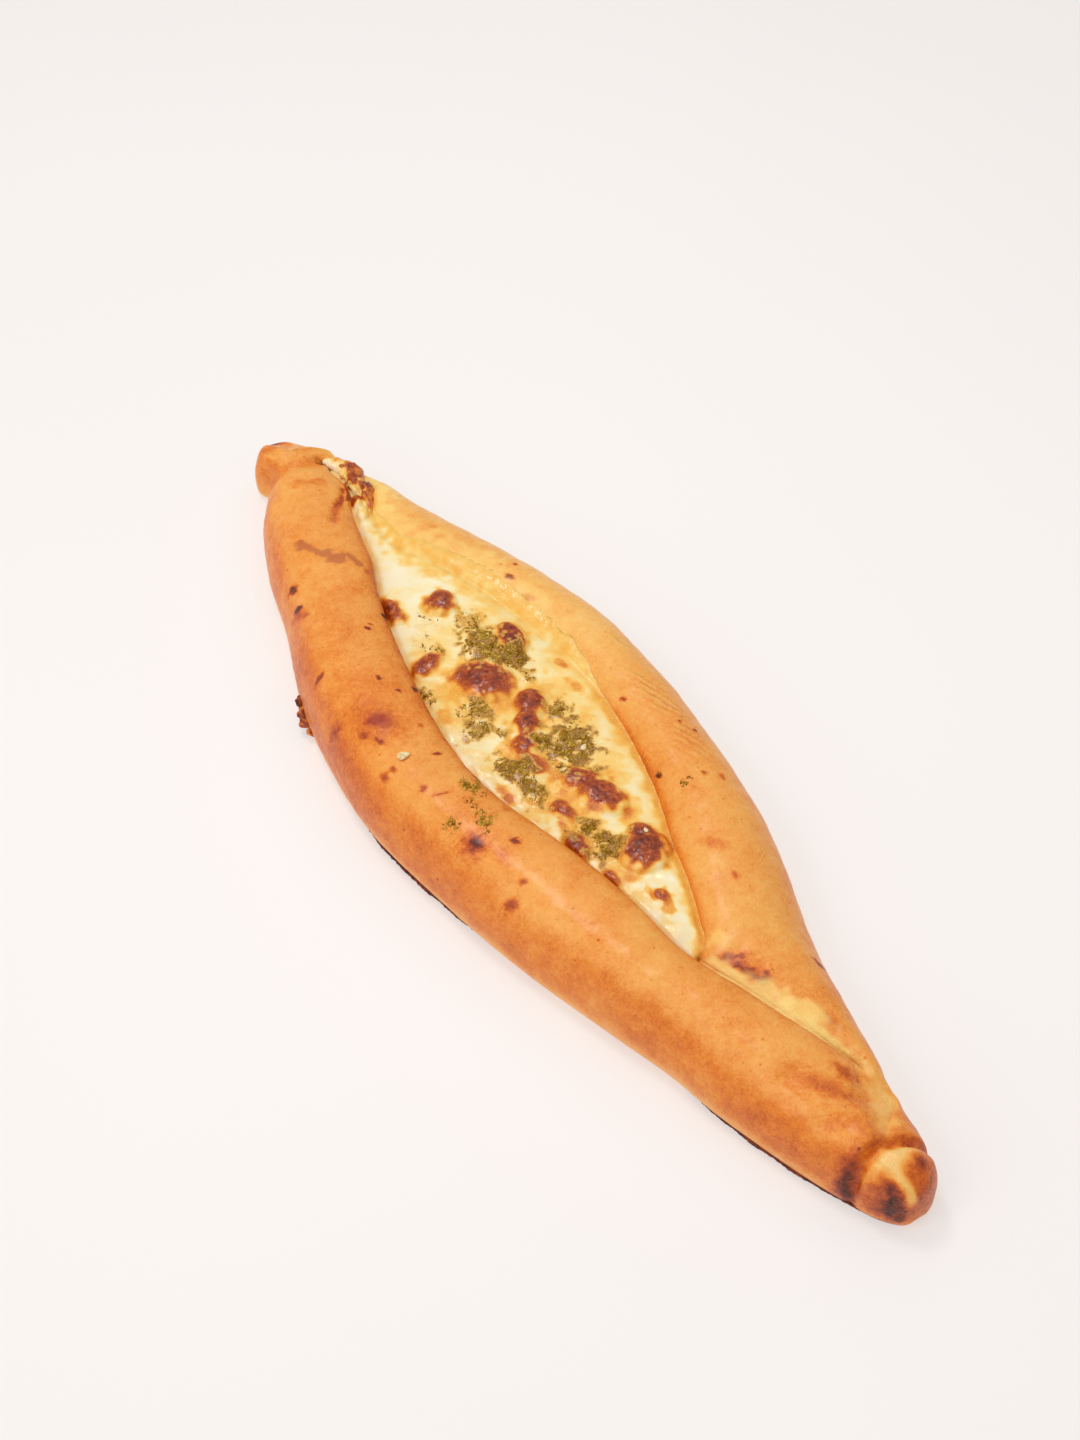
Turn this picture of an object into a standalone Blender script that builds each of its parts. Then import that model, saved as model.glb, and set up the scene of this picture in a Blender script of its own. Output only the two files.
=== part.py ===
"""A Turkish pide: a long bread boat whose two folded sides hold melted cheese in an open slit.

The near fold laps over the far one at the boat's ends, and each end is pinched into a knob.
Frame: +X runs along the boat towards its pinched, scorched knob, +Y towards the far fold, +Z up,
with the origin on the surface it rests on, under the middle of the boat. Sizes are in millimetres.
"""

import math
import random

import bmesh
import bpy
from mathutils import Euler, Matrix, Vector, noise

MM = 0.001

# The boat's driving sizes.
TIP_FAR = -151.0
TIP_NEAR = 150.4
FAR_CAP = 7.0
NEAR_CAP = 8.0
CAP_POWER = 2.4
TIP_BLUNTNESS = 0.4
TIP_Y = 1.6
TIP_Z = 8.0
FOOT_INSET = 1.6
FOOT_SHARE = 0.07
BELLY_SHARE = 0.27
FOLD_POWER = 2.25

# Each table gives a size at stations along X, as (x, size).
# The sides: how far the near and the far fold bulge from the middle line.
NEAR_SIDE = (
    (-151, 7.0), (-146, 6.3), (-140, 4.2), (-134, 9.8), (-126, 15.6), (-110, 22.9), (-90, 29.2),
    (-70, 37.2), (-50, 42.6), (-20, 46.0), (10, 42.8), (40, 37.2), (70, 28.8), (85, 24.4),
    (100, 21.4), (120, 15.8), (130, 12.4), (136, 10.1), (142, 7.6), (147, 5.2), (151, 4.6),
)
FAR_SIDE = (
    (-151, 10.6), (-146, 11.4), (-138, 14.4), (-126, 19.4), (-117, 22.7), (-100, 27.8), (-80, 34.1),
    (-50, 42.8), (-20, 45.2), (10, 43.3), (40, 38.8), (70, 29.3), (85, 24.5), (100, 20.9),
    (115, 17.4), (125, 13.8), (133, 13.4), (142, 11.6), (147, 10.6), (151, 9.8),
)
# The folds' crests.
NEAR_HEIGHT = (
    (-151, 16.5), (-140, 17.4), (-125, 19.5), (-100, 22.3), (-60, 24.8), (0, 25.9), (50, 25.5),
    (90, 24.6), (120, 22.8), (134, 21.4), (142, 20.0), (151, 18.5),
)
FAR_HEIGHT = (
    (-151, 15.6), (-146, 16.8), (-140, 18.6), (-134, 14.0), (-126, 14.2), (-112, 17.6), (-90, 20.3),
    (-60, 22.3), (0, 23.6), (45, 23.8), (75, 21.4), (100, 19.2), (115, 18.0), (126, 15.4),
    (135, 19.6), (142, 19.3), (151, 18.5),
)
# How far a fold's crest lies from its lip towards its side, and in the healed knobs from the middle.
CREST_SHARE = 0.44
KNOB_CREST_SHARE = 0.15
# Where the folds' lips run, in y. Past the slit's near end the near lip lies on the far fold.
NEAR_LIP = (
    (-136, 11.4), (-129, 10.2), (-121, 10.5), (-117, 9.2), (-111, 6.2), (-100, 2.7), (-90, 0.0),
    (-84, -2.8), (-79, -5.0), (-65, -9.6), (-45, -14.6), (-30, -17.6), (-12, -19.3), (2, -18.1),
    (14, -15.2), (27, -11.8), (40, -9.2), (52, -7.7), (62, -7.2), (73, -4.8), (83, -1.4),
    (94, 2.0), (103, 5.2), (112, 7.7), (120, 9.6), (126, 11.4), (134, 12.0),
)
FAR_LIP = (
    (-136, 13.2), (-128, 15.0), (-118, 15.2), (-112, 13.0), (-107, 10.4), (-100, 8.8), (-92, 8.8),
    (-80, 12.8), (-68, 16.9), (-56, 20.2), (-43, 22.3), (-28, 23.8), (-12, 23.6), (1, 22.1),
    (12, 19.9), (22, 17.2), (37, 11.4), (48, 7.7), (58, 3.8), (66, 0.2), (72, -3.6), (134, -3.6),
)
NEAR_LIP_Z = (
    (-136, 13.6), (-118, 15.2), (-95, 17.0), (-60, 19.0), (0, 19.6), (60, 19.0), (73, 18.6),
    (100, 18.8), (128, 17.5),
)
FAR_LIP_Z = (
    (-136, 13.4), (-118, 14.2), (-95, 15.6), (-60, 17.2), (0, 17.6), (60, 17.2), (73, 16.8),
    (128, 16.5),
)
TROUGH_Z = (
    (-136, 8.6), (-118, 9.0), (-95, 9.0), (-50, 8.0), (30, 8.0), (60, 9.5), (75, 12.0), (128, 12.0),
)

NEAR_LIP_ROUND = ((-136, 1.2), (-90, 3.0))
FAR_LIP_ROUND = 1.2
TUCK = ((-126, 0.3), (-105, 1.0), (-80, 2.0))
SEAM_ROUND = 1.1
SEAM_TUCK = 1.6
SEAM_GAP = 0.9
SLIT_SHUTS = (65.0, 73.0)
SEAM_FADES = (104.0, 116.0)
SEAM_HEALS = (114.0, 124.0)
KNOB_ROUNDS = (126.0, 136.0)
FAR_SLIT_HEALS = (-132.0, -137.0)
FAR_KNOB_ROUNDS = (-136.0, -142.0)

# The knob's groove bows away from the knob, more so on its far side.
GROOVE_X = 136.5
GROOVE_Y = -2.0
GROOVE_BOW = (0.01, 0.03)
GROOVE_DEPTH = 2.6
# The groove's half width on the boat's side and on the knob's.
GROOVE_WIDTH = (0.9, 1.9)
# The creases that pinching and folding left in the dough: depth, half width, then (x, y) points.
CREASES = (
    (1.7, 1.7, (137.6, -2.9), (143.4, -1.8), (147.4, 0.0), (150.5, 1.2)),
    (0.7, 3.2, (110.5, -6.6), (117.2, -3.0), (121.8, 0.1), (125.2, 4.1), (127.3, 8.4)),
    (0.5, 2.6, (125.0, -8.4), (128.9, -2.6), (131.7, 2.7), (135.6, 6.7)),
    (1.0, 2.2, (-137.2, -6.5), (-135.0, 1.2), (-133.2, 7.6)),
    (0.9, 1.5, (-149.0, 2.6), (-144.5, 5.2), (-142.0, 3.0)),
    (0.7, 1.0, (-119.2, 7.9), (-114.5, 4.7), (-113.1, 2.5), (-107.6, -2.1)),
)

# Grooves and creases fade out towards the floor, between these heights.
FADE_DOWN = (3.0, 10.0)
# The dough's own unevenness, as (how long a swell is, how high).
SWELLS = ((26.0, 0.7), (11.0, 0.25))
SWELL_ASIDE = 0.5

# The cheese. It swelled over its edges between the lips, most of all towards the far one.
CHEESE_GAP = 0.4
CHEESE_EDGE_DROP = 0.45
CHEESE_CROWN = 1.0
CHEESE_SWELL = 0.9
FAR_SWELL = (
    (-131, 0.0), (-116, 0.4), (-104, 1.6), (-90, 2.4), (-30, 2.4), (-12, 1.8), (10, 1.4), (60, 1.2),
)
CHEESE_FROM = -131.0
CHEESE_TO = 66.5
BLISTERS = (
    (-64.9, 6.5, 4.2, 3.8, 0, 1.7),
    (-71.6, -5.7, 5.4, 2.6, 0, 1.5),
    (-42.6, 15.0, 5.6, 3.8, -10, 2.2),
    (-35.6, 0.4, 8.6, 6.8, 25, 2.4),
    (-48.9, -8.4, 2.8, 5.0, 10, 1.6),
    (-19.4, 5.4, 5.8, 5.0, -20, 2.2),
    (-11.4, -1.2, 5.6, 3.8, -42, 1.8),
    (12.4, 4.5, 9.4, 4.8, 20, 2.0),
    (34.4, 4.6, 7.2, 6.6, -20, 2.6),
    (12.6, -5.8, 4.2, 2.6, 10, 1.4),
    (24.1, -9.4, 4.6, 3.2, -8, 1.7),
    (37.6, -8.4, 3.2, 2.6, -10, 1.2),
    (49.2, -0.9, 3.0, 2.2, 10, 0.9),
    (-3.5, -4.2, 4.6, 3.6, 0, 1.2),
)
# Browned scraps of cheese that boiled out at the far end of the slit.
SPILLS = (
    (-128.0, 14.2, 2.4, 2.0, 20, 2.6),
    (-124.0, 14.2, 2.4, 2.0, 10, 4.0),
    (-121.4, 12.6, 2.2, 1.8, 10, 3.2),
    (-117.8, 13.6, 2.4, 2.2, -10, 3.6),
    (-114.2, 13.0, 2.2, 1.8, -20, 2.6),
    (-114.4, 9.6, 2.2, 1.6, -30, 1.6),
    (-109.0, 8.2, 2.6, 1.6, -30, 1.2),
)
# Clumps of dried herbs, as (x, y, reach along X, reach along Y, crumbs).
CHEESE_HERBS = (
    (-45.4, 7.2, 5.0, 4.6, 9),
    (-37.5, 11.4, 4.2, 3.4, 6),
    (-54.7, 8.5, 3.6, 3.0, 4),
    (-3.4, 8.2, 6.2, 5.2, 13),
    (-8.8, 1.9, 2.4, 2.0, 3),
    (-15.1, 11.7, 2.4, 2.2, 3),
    (-1.6, -8.2, 5.6, 3.0, 8),
    (-21.9, -9.6, 2.6, 3.8, 5),
    (-27.4, -5.2, 3.2, 2.2, 3),
    (20.4, -3.7, 2.2, 2.8, 4),
    (29.4, -2.4, 3.0, 4.4, 6),
)
CRUST_HERBS = (
    (-3.3, -23.6, 2.8, 2.8, 4),
    (8.4, -27.6, 2.8, 2.2, 4),
    (5.4, -35.1, 1.8, 2.2, 2),
    (27.2, 23.5, 2.2, 1.8, 2),
)
HERB_SEED = 11
CRUMB_RADII = (0.95, 1.5)
SESAME = (-20.0, -33.2)
SESAME_LENGTH = 3.4
SESAME_WIDTH = 2.1
# Crumbs of cheese baked on to the near side's foot, as (x, z, radius).
FOOT_CRUMBS = ((-66.5, 5.0, 1.6), (-62.5, 4.2, 2.0), (-58.2, 3.4, 1.6))


def along(table, x):
    """The size at x on a smooth curve through a table's stations."""
    if x <= table[0][0]:
        return table[0][1]
    if x >= table[-1][0]:
        return table[-1][1]
    i = max(k for k in range(len(table) - 1) if table[k][0] <= x)

    def slope(k):
        low, high = max(k - 1, 0), min(k + 1, len(table) - 1)
        return (table[high][1] - table[low][1]) / (table[high][0] - table[low][0])

    (x0, y0), (x1, y1) = table[i], table[i + 1]
    step = x1 - x0
    t = (x - x0) / step
    return (
        y0 * (1 + 2 * t) * (1 - t) ** 2
        + slope(i) * step * t * (1 - t) ** 2
        + y1 * t * t * (3 - 2 * t)
        + slope(i + 1) * step * t * t * (t - 1)
    )


def ease(low, high, x):
    """0 at low, 1 at high, and smooth between them."""
    t = min(1.0, max(0.0, (x - low) / (high - low)))
    return t * t * (3 - 2 * t)


def blend(points_a, points_b, share):
    return [
        ((1 - share) * a[0] + share * b[0], (1 - share) * a[1] + share * b[1])
        for a, b in zip(points_a, points_b)
    ]


def line(a, b, count):
    """count points on the way from a to b, leaving a out."""
    step = ((b[0] - a[0]) / count, (b[1] - a[1]) / count)
    return [(a[0] + step[0] * i, a[1] + step[1] * i) for i in range(1, count + 1)]


def quarter(a, b, count, flat_start, power=2.0):
    """count points on a quarter of a superellipse from a to b, which leaves a level, or upright."""
    points = []
    for i in range(1, count + 1):
        t = 0.5 * math.pi * i / count
        level, upright = math.sin(t) ** (2 / power), 1 - math.cos(t) ** (2 / power)
        if not flat_start:
            level, upright = upright, level
        points.append((a[0] + (b[0] - a[0]) * level, a[1] + (b[1] - a[1]) * upright))
    return points


# How many points each stretch of a fold's outline has.
FLOOR_POINTS, FOOT_POINTS, OUTER_POINTS, INNER_POINTS, UNDER_POINTS, WALL_POINTS = 2, 2, 5, 4, 2, 2


def fold_outside(width, height, crest, middle):
    """One fold's outline from the middle of the floor out, round its foot and up to its crest."""
    foot = FOOT_INSET + width * FOOT_SHARE
    belly = (width, height * BELLY_SHARE)
    return (
        line((middle, 0.0), (width - foot, 0.0), FLOOR_POINTS)
        + quarter((width - foot, 0.0), belly, FOOT_POINTS, True)
        + quarter(belly, (crest, height), OUTER_POINTS, False, FOLD_POWER)
    )


def open_inside(crest, height, lip, lip_z, lip_round, tuck, trough_z):
    """From a fold's crest over its rounded lip, back under it and down into the trough."""
    under = (lip + lip_round, lip_z - lip_round)
    back = (under[0] + tuck, under[1] - 0.4)
    return (
        quarter((crest, height), (lip, lip_z), INNER_POINTS, True, 2.1)
        + quarter((lip, lip_z), under, UNDER_POINTS, False)
        + [back, (back[0] - 0.8, trough_z)]
    )


def healed_inside(crest, height, middle, middle_z):
    """From a crest straight across to the middle, where the folds have grown into one."""
    return line((crest, height), (middle, middle_z), INNER_POINTS + UNDER_POINTS + WALL_POINTS + 1)[:-1]


def section(x):
    """The bread's outline at station x: a closed ring of (y, z), from the middle of its floor."""
    near, far = along(NEAR_SIDE, x), along(FAR_SIDE, x)
    near_h, far_h = along(NEAR_HEIGHT, x), along(FAR_HEIGHT, x)
    near_lip, far_lip = -along(NEAR_LIP, x), along(FAR_LIP, x)
    healed = max(ease(*SEAM_HEALS, x), ease(*FAR_SLIT_HEALS, x))
    near_crest = near_lip + (near - near_lip) * CREST_SHARE
    far_edge = max(far_lip, -near_lip)
    far_crest = far_edge + (far - far_edge) * CREST_SHARE
    knob = max(ease(*KNOB_ROUNDS, x), ease(*FAR_KNOB_ROUNDS, x))
    near_crest += (near * KNOB_CREST_SHARE - near_crest) * knob
    far_crest += (far * KNOB_CREST_SHARE - far_crest) * knob
    near_z, far_z, trough = along(NEAR_LIP_Z, x), along(FAR_LIP_Z, x), along(TROUGH_Z, x)
    middle = (far - near) / 2

    near_round, tuck = along(NEAR_LIP_ROUND, x), along(TUCK, x)
    near_inside = open_inside(near_crest, near_h, near_lip, near_z, near_round, tuck, trough)
    far_inside = open_inside(far_crest, far_h, far_lip, far_z, FAR_LIP_ROUND, tuck, trough)
    bottom = ((far_lip - near_lip) / 2, trough)

    # Past the slit's end the near fold's edge lies on the far fold, with a crack under it.
    shut = ease(*SLIT_SHUTS, x)
    if shut:
        depth = 1 - 0.85 * ease(*SEAM_FADES, x)
        under = (near_lip + SEAM_ROUND * depth, near_z - SEAM_ROUND)
        crack = (under[0] + SEAM_TUCK * depth, under[1] - 0.2)
        below = under[1] - SEAM_GAP
        near_shut = (
            quarter((near_crest, near_h), (near_lip, near_z), INNER_POINTS, True, 2.1)
            + quarter((near_lip, near_z), under, UNDER_POINTS, False)
            + [(crack[0] - 0.5 * depth, crack[1]), (crack[0], crack[1] - 0.2)]
        )
        edge = (-near_lip + 1.6, below + 0.1)
        far_shut = (
            quarter((far_crest, far_h), edge, INNER_POINTS, True, 1.5)
            + line(edge, (-near_lip - 0.4 * depth, below), UNDER_POINTS)
            + [(-crack[0] + 0.6 * depth, below), (-crack[0] + 0.1 * depth, below + 0.1)]
        )
        near_inside = blend(near_inside, near_shut, shut)
        far_inside = blend(far_inside, far_shut, shut)
        bottom = blend([bottom], [(-crack[0] - 0.2, crack[1] - SEAM_GAP / 2)], shut)[0]

    if healed:
        top = (near_h + far_h) / 2
        centre = (far_crest - near_crest) / 2
        near_inside = blend(near_inside, healed_inside(near_crest, near_h, -centre, top), healed)
        far_inside = blend(far_inside, healed_inside(far_crest, far_h, centre, top), healed)
        bottom = blend([bottom], [(centre, top)], healed)[0]

    near_half = fold_outside(near, near_h, near_crest, -middle) + near_inside
    far_half = fold_outside(far, far_h, far_crest, middle) + far_inside
    return [(middle, 0.0)] + [(-y, z) for y, z in near_half] + [bottom] + far_half[::-1]


def cap(x):
    """How far the section has closed towards the boat's tip: 1 along the body, 0 at the tip."""
    far, near = (TIP_FAR + FAR_CAP - x) / FAR_CAP, (x - TIP_NEAR + NEAR_CAP) / NEAR_CAP
    past = min(1.0, max(0.0, far, near))
    return (1 - past ** CAP_POWER) ** (1 / CAP_POWER)


def capped(x, y, z):
    """A section's point drawn in towards the tip's centre. Its height closes later than its width."""
    share = cap(x)
    return TIP_Y + (y - TIP_Y) * share, TIP_Z + (z - TIP_Z) * share ** TIP_BLUNTNESS


def distance_to(x, y, start, end):
    """How far (x, y) lies from the straight stretch between two points."""
    dx, dy = end[0] - start[0], end[1] - start[1]
    t = min(1.0, max(0.0, ((x - start[0]) * dx + (y - start[1]) * dy) / (dx * dx + dy * dy)))
    return math.hypot(x - start[0] - dx * t, y - start[1] - dy * t)


def shaped(x, y, z):
    """A point of the bread after the knob's groove, the creases and the dough's own unevenness."""
    groove = GROOVE_X + GROOVE_BOW[y > GROOVE_Y] * (y - GROOVE_Y) ** 2
    pinch = math.exp(-(((x - groove) / GROOVE_WIDTH[x > groove]) ** 2))
    rise = ease(*FADE_DOWN, z)
    reach = math.hypot(y - TIP_Y, z - TIP_Z) or 1.0
    inward = GROOVE_DEPTH * pinch * (0.35 + 0.65 * rise) / reach
    y -= (y - TIP_Y) * inward
    z -= (z - TIP_Z) * inward * rise
    for depth, width, *path in CREASES:
        near = min(distance_to(x, y, a, b) for a, b in zip(path, path[1:]))
        z -= depth * rise * math.exp(-((near / width) ** 2))
    swell = sum(noise.noise(Vector((x, y, z)) / length) * high for length, high in SWELLS) * rise
    outward = math.copysign(min(1.0, abs(y) / 20), y)
    return Vector((x, y + swell * SWELL_ASIDE * outward, z + swell))


def stations():
    """Stations along X, close together at the tips and the groove."""
    far_start, near_start = TIP_FAR + FAR_CAP, TIP_NEAR - NEAR_CAP
    found = [far_start - FAR_CAP * math.sin(a * math.pi / 2 / 4.6) ** 0.85 for a in (4, 3, 2, 1)]
    x = far_start
    while x < near_start - 0.5:
        found.append(x)
        x += 1.2 if x > 133 else 3.0 if x < -106 or 60 < x < 76 or x > 112 else 5.0
    found += [near_start + NEAR_CAP * math.sin(a * math.pi / 2 / 5.6) ** 0.85 for a in range(0, 6)]
    return found


def mesh_object(name, points, faces):
    mesh = bpy.data.meshes.new(name)
    mesh.from_pydata([tuple(c * MM for c in p) for p in points], [], faces)
    made = bpy.data.objects.new(name, mesh)
    bpy.context.scene.collection.objects.link(made)
    whole = bmesh.new()
    whole.from_mesh(mesh)
    bmesh.ops.recalc_face_normals(whole, faces=whole.faces)
    whole.to_mesh(mesh)
    whole.free()
    mesh.shade_smooth()
    return made


def lofted(name, rings, first_tip, last_tip):
    """A closed skin over rings of equal length, drawn to a point at each end."""
    count = len(rings[0])
    points = [p for ring in rings for p in ring] + [first_tip, last_tip]
    first, last = len(points) - 2, len(points) - 1
    faces = []
    for i in range(len(rings) - 1):
        for j in range(count):
            a, b = i * count + j, i * count + (j + 1) % count
            faces.append((a, b, b + count, a + count))
    top = (len(rings) - 1) * count
    faces += [(first, (j + 1) % count, j) for j in range(count)]
    faces += [(last, top + j, top + (j + 1) % count) for j in range(count)]
    return mesh_object(name, points, faces)


def bread():
    rings = []
    for x in stations():
        rings.append([shaped(x, *capped(x, y, z)) for y, z in section(x)])
    return lofted("dough_boat", rings, (TIP_FAR, TIP_Y, TIP_Z), (TIP_NEAR, TIP_Y, TIP_Z))


def bumps(table, x, y):
    """The tallest bump at (x, y) of those in a table, as (x, y, reach, reach across, turn, height)."""
    tallest = 0.0
    for cx, cy, along_x, along_y, turn, height in table:
        a = math.radians(turn)
        u = ((x - cx) * math.cos(a) + (y - cy) * math.sin(a)) / along_x
        v = ((y - cy) * math.cos(a) - (x - cx) * math.sin(a)) / along_y
        far = math.hypot(u, v)
        if far < 1.35:
            tallest = max(tallest, height * (1 - ease(0.35, 1.35, far)))
    return tallest


ACROSS = 15
STEPS = 62
ROUND_OFF = 3.0


def cheese_stations():
    """Stations from one end of the cheese to the other, closest together at its rounded ends."""
    found = []
    for i in range(STEPS + 1):
        t = i / STEPS
        crowded = 0.5 - 0.5 * math.cos(math.pi * t)
        found.append(CHEESE_FROM + (CHEESE_TO - CHEESE_FROM) * (0.9 * t + 0.1 * crowded))
    return found


def cheese():
    """The cheese's skin: the trough's own outline drawn in by a gap below, and its bubbled top above."""
    back = 1 + FLOOR_POINTS + FOOT_POINTS + OUTER_POINTS + INNER_POINTS + UNDER_POINTS
    rings = []
    for x in cheese_stations():
        ring = section(x)
        trough = ring[back:len(ring) - back + 1]
        low, high = trough[0], trough[-1]
        out = min(x - CHEESE_FROM, CHEESE_TO - x) / ROUND_OFF
        shrink = math.sqrt(1 - (1 - out) ** 2) if out < 1 else 1.0
        shrink = max(shrink, 0.2)
        middle_y = (low[0] + high[0]) / 2
        half = ((high[0] - low[0]) / 2 - CHEESE_GAP - 0.1) * shrink
        edge_y = (middle_y - half, middle_y + half)
        lips = along(NEAR_LIP, x), along(FAR_LIP, x)
        points = []
        for k in range(ACROSS + 1):
            s = k / ACROSS
            y = edge_y[0] + (edge_y[1] - edge_y[0]) * s
            clear = min(ease(-0.2, 2.4, y - lips[0]), ease(-0.2, 2.0, lips[1] - y)) * shrink
            rough = noise.noise(Vector((x / 6, y / 6, 3.0))) * 0.35
            z = low[1] + (high[1] - low[1]) * s - CHEESE_EDGE_DROP
            swell = CHEESE_SWELL + along(FAR_SWELL, x) * s
            z += (CHEESE_CROWN * (1 - (2 * s - 1) ** 2) + swell + rough + bumps(BLISTERS, x, y)) * clear
            z += bumps(SPILLS, x, y) * min(1.0, clear * 1.6)
            points.append(shaped(x, y, z - (1 - shrink) * 1.2))
        roof = min(low[1], high[1]) - CHEESE_EDGE_DROP - (1 - shrink) * 1.2 - 0.8
        for y, z in trough[-2:0:-1]:
            y = middle_y + (y + math.copysign(CHEESE_GAP, middle_y - y) - middle_y) * shrink
            points.append(shaped(x, y, min(z + CHEESE_GAP + (1 - shrink) * 1.2, roof)))
        rings.append(points)
    ends = []
    for ring, step in ((rings[0], -0.3), (rings[-1], 0.3)):
        centre = sum(ring, Vector()) / len(ring)
        ends.append((ring[0][0] + step, centre.y, centre.z))
    return lofted("cheese_filling", rings, *ends)


def grain(radii, spin):
    """A low round grain of about 30 faces, as a mesh in a new bmesh."""
    made = bmesh.new()
    bmesh.ops.create_uvsphere(made, u_segments=5, v_segments=4, radius=1.0)
    matrix = spin.to_matrix().to_4x4() @ Matrix.Diagonal((*[r * MM for r in radii], 1.0))
    bmesh.ops.transform(made, matrix=matrix, verts=made.verts)
    return made


def surface_height(target, x, y):
    """How high target's skin is over (x, y), in millimetres."""
    hit, place, _, _ = target.ray_cast(Vector((x * MM, y * MM, 0.1)), Vector((0, 0, -1)))
    return place.z / MM if hit else None


def place_grain(group, made, x, y, z):
    mesh = bpy.data.meshes.new("grain")
    bmesh.ops.translate(made, verts=made.verts, vec=Vector((x, y, z)) * MM)
    made.to_mesh(mesh)
    made.free()
    group.objects.link(bpy.data.objects.new("grain", mesh))


def crumbs(group, target, clumps, draw, keep_clear):
    """Herb crumbs in each clump, the first in its middle and the rest on a widening spiral."""
    for cx, cy, along_x, along_y, count in clumps:
        for k in range(count):
            turn = k * 2.4 + draw.uniform(-0.3, 0.3)
            out = math.sqrt(k / count) * 0.95
            x, y = cx + along_x * out * math.cos(turn), cy + along_y * out * math.sin(turn)
            z = surface_height(target, x, y)
            if z is None or not keep_clear(x, y):
                continue
            size = draw.uniform(*CRUMB_RADII)
            spin = Euler((draw.uniform(0, 3), draw.uniform(0, 3), draw.uniform(0, 3)))
            place_grain(group, grain((size, size * 0.8, size * 0.7), spin), x, y, z + 0.15 * size)


def fuse(target, group):
    """Joins a collection's objects to target with one union, then removes them."""
    union = target.modifiers.new("grains", "BOOLEAN")
    union.operation = "UNION"
    union.operand_type = "COLLECTION"
    union.collection = group
    union.solver = "EXACT"
    bpy.context.view_layer.update()
    evaluated = target.evaluated_get(bpy.context.evaluated_depsgraph_get())
    joined = bpy.data.meshes.new_from_object(evaluated)
    target.modifiers.clear()
    target.data = joined
    for o in list(group.objects):
        bpy.data.objects.remove(o)
    bpy.data.collections.remove(group)


def material(name, colour, roughness):
    made = bpy.data.materials.new(name)
    made.use_nodes = True
    shader = made.node_tree.nodes["Principled BSDF"]
    shader.inputs["Base Color"].default_value = (*colour, 1.0)
    shader.inputs["Roughness"].default_value = roughness
    shader.inputs["Metallic"].default_value = 0.0
    return made


def new_group(name):
    group = bpy.data.collections.new(name)
    bpy.context.scene.collection.children.link(group)
    return group


def main():
    for o in list(bpy.data.objects):
        bpy.data.objects.remove(o)
    draw = random.Random(HERB_SEED)

    boat = bread()
    filling = cheese()
    bpy.context.view_layer.update()

    group = new_group("cheese_grains")
    crumbs(
        group, filling, CHEESE_HERBS, draw,
        lambda x, y: along(NEAR_LIP, x) + 2.2 < y < along(FAR_LIP, x) - 2.0,
    )
    fuse(filling, group)

    group = new_group("crust_grains")
    crumbs(
        group, boat, CRUST_HERBS, draw,
        lambda x, y: y < along(NEAR_LIP, x) - 2.2 or y > along(FAR_LIP, x) + 2.0,
    )
    seed_z = surface_height(boat, *SESAME)
    seed = grain((SESAME_LENGTH / 2, SESAME_WIDTH / 2, 0.8), Euler((0.3, 0.0, math.radians(80))))
    place_grain(group, seed, *SESAME, seed_z + 0.3)
    for x, z, radius in FOOT_CRUMBS:
        _, place, _, _ = boat.ray_cast(Vector((x, -80, z)) * MM, Vector((0, 1, 0)))
        crumb = grain((radius, radius * 0.9, radius * 0.8), Euler((0.4, 0.9, 0.2)))
        place_grain(group, crumb, x, place.y / MM - 0.2, z)
    fuse(boat, group)

    boat.data.materials.append(material("baked_crust", (0.72, 0.34, 0.10), 0.45))
    filling.data.materials.append(material("melted_cheese", (0.86, 0.70, 0.33), 0.35))


main()
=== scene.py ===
"""The looks of a Turkish pide: an egg-washed bread boat round a slit of melted cheese and dried herbs.

The bread and the cheese are lofted finely from the same named sizes as the CAD solids, in
millimetres, with browning, scorches, stains and some painted light and shade stored in their points.
Herbs are real flakes.
"""

import math
import random

import bpy
import numpy as np
from mathutils import Euler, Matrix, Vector, noise
from mathutils.bvhtree import BVHTree


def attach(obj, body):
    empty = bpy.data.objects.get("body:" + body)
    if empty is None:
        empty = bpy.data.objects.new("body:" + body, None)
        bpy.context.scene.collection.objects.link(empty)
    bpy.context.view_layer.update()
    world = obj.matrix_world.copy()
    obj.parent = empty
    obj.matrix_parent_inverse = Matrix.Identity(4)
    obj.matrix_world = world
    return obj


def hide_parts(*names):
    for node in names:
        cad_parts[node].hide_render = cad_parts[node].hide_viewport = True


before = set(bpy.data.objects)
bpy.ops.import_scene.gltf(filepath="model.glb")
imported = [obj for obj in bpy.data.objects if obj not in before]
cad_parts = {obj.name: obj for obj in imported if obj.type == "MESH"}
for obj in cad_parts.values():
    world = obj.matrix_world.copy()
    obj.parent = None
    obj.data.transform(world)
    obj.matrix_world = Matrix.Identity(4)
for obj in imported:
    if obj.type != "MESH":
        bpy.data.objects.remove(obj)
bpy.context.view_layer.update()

MM = 0.001
# Rays that look for a skin from above start this high, in millimetres, and go straight down.
OVERHEAD = 60.0
DOWN = Vector((0, 0, -1))

# The boat's driving sizes, in millimetres, as the solids have them. Only the far lip's fall is
# softer here.
TIP_FAR = -151.0
TIP_NEAR = 150.4
FAR_CAP = 7.0
NEAR_CAP = 8.0
CAP_POWER = 2.4
TIP_BLUNTNESS = 0.4
TIP_Y = 1.6
TIP_Z = 8.0
FOOT_INSET = 1.6
FOOT_SHARE = 0.07
BELLY_SHARE = 0.27
FOLD_POWER = 2.25
NEAR_LIP_POWER = 2.1
FAR_LIP_POWER = 1.75

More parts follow.
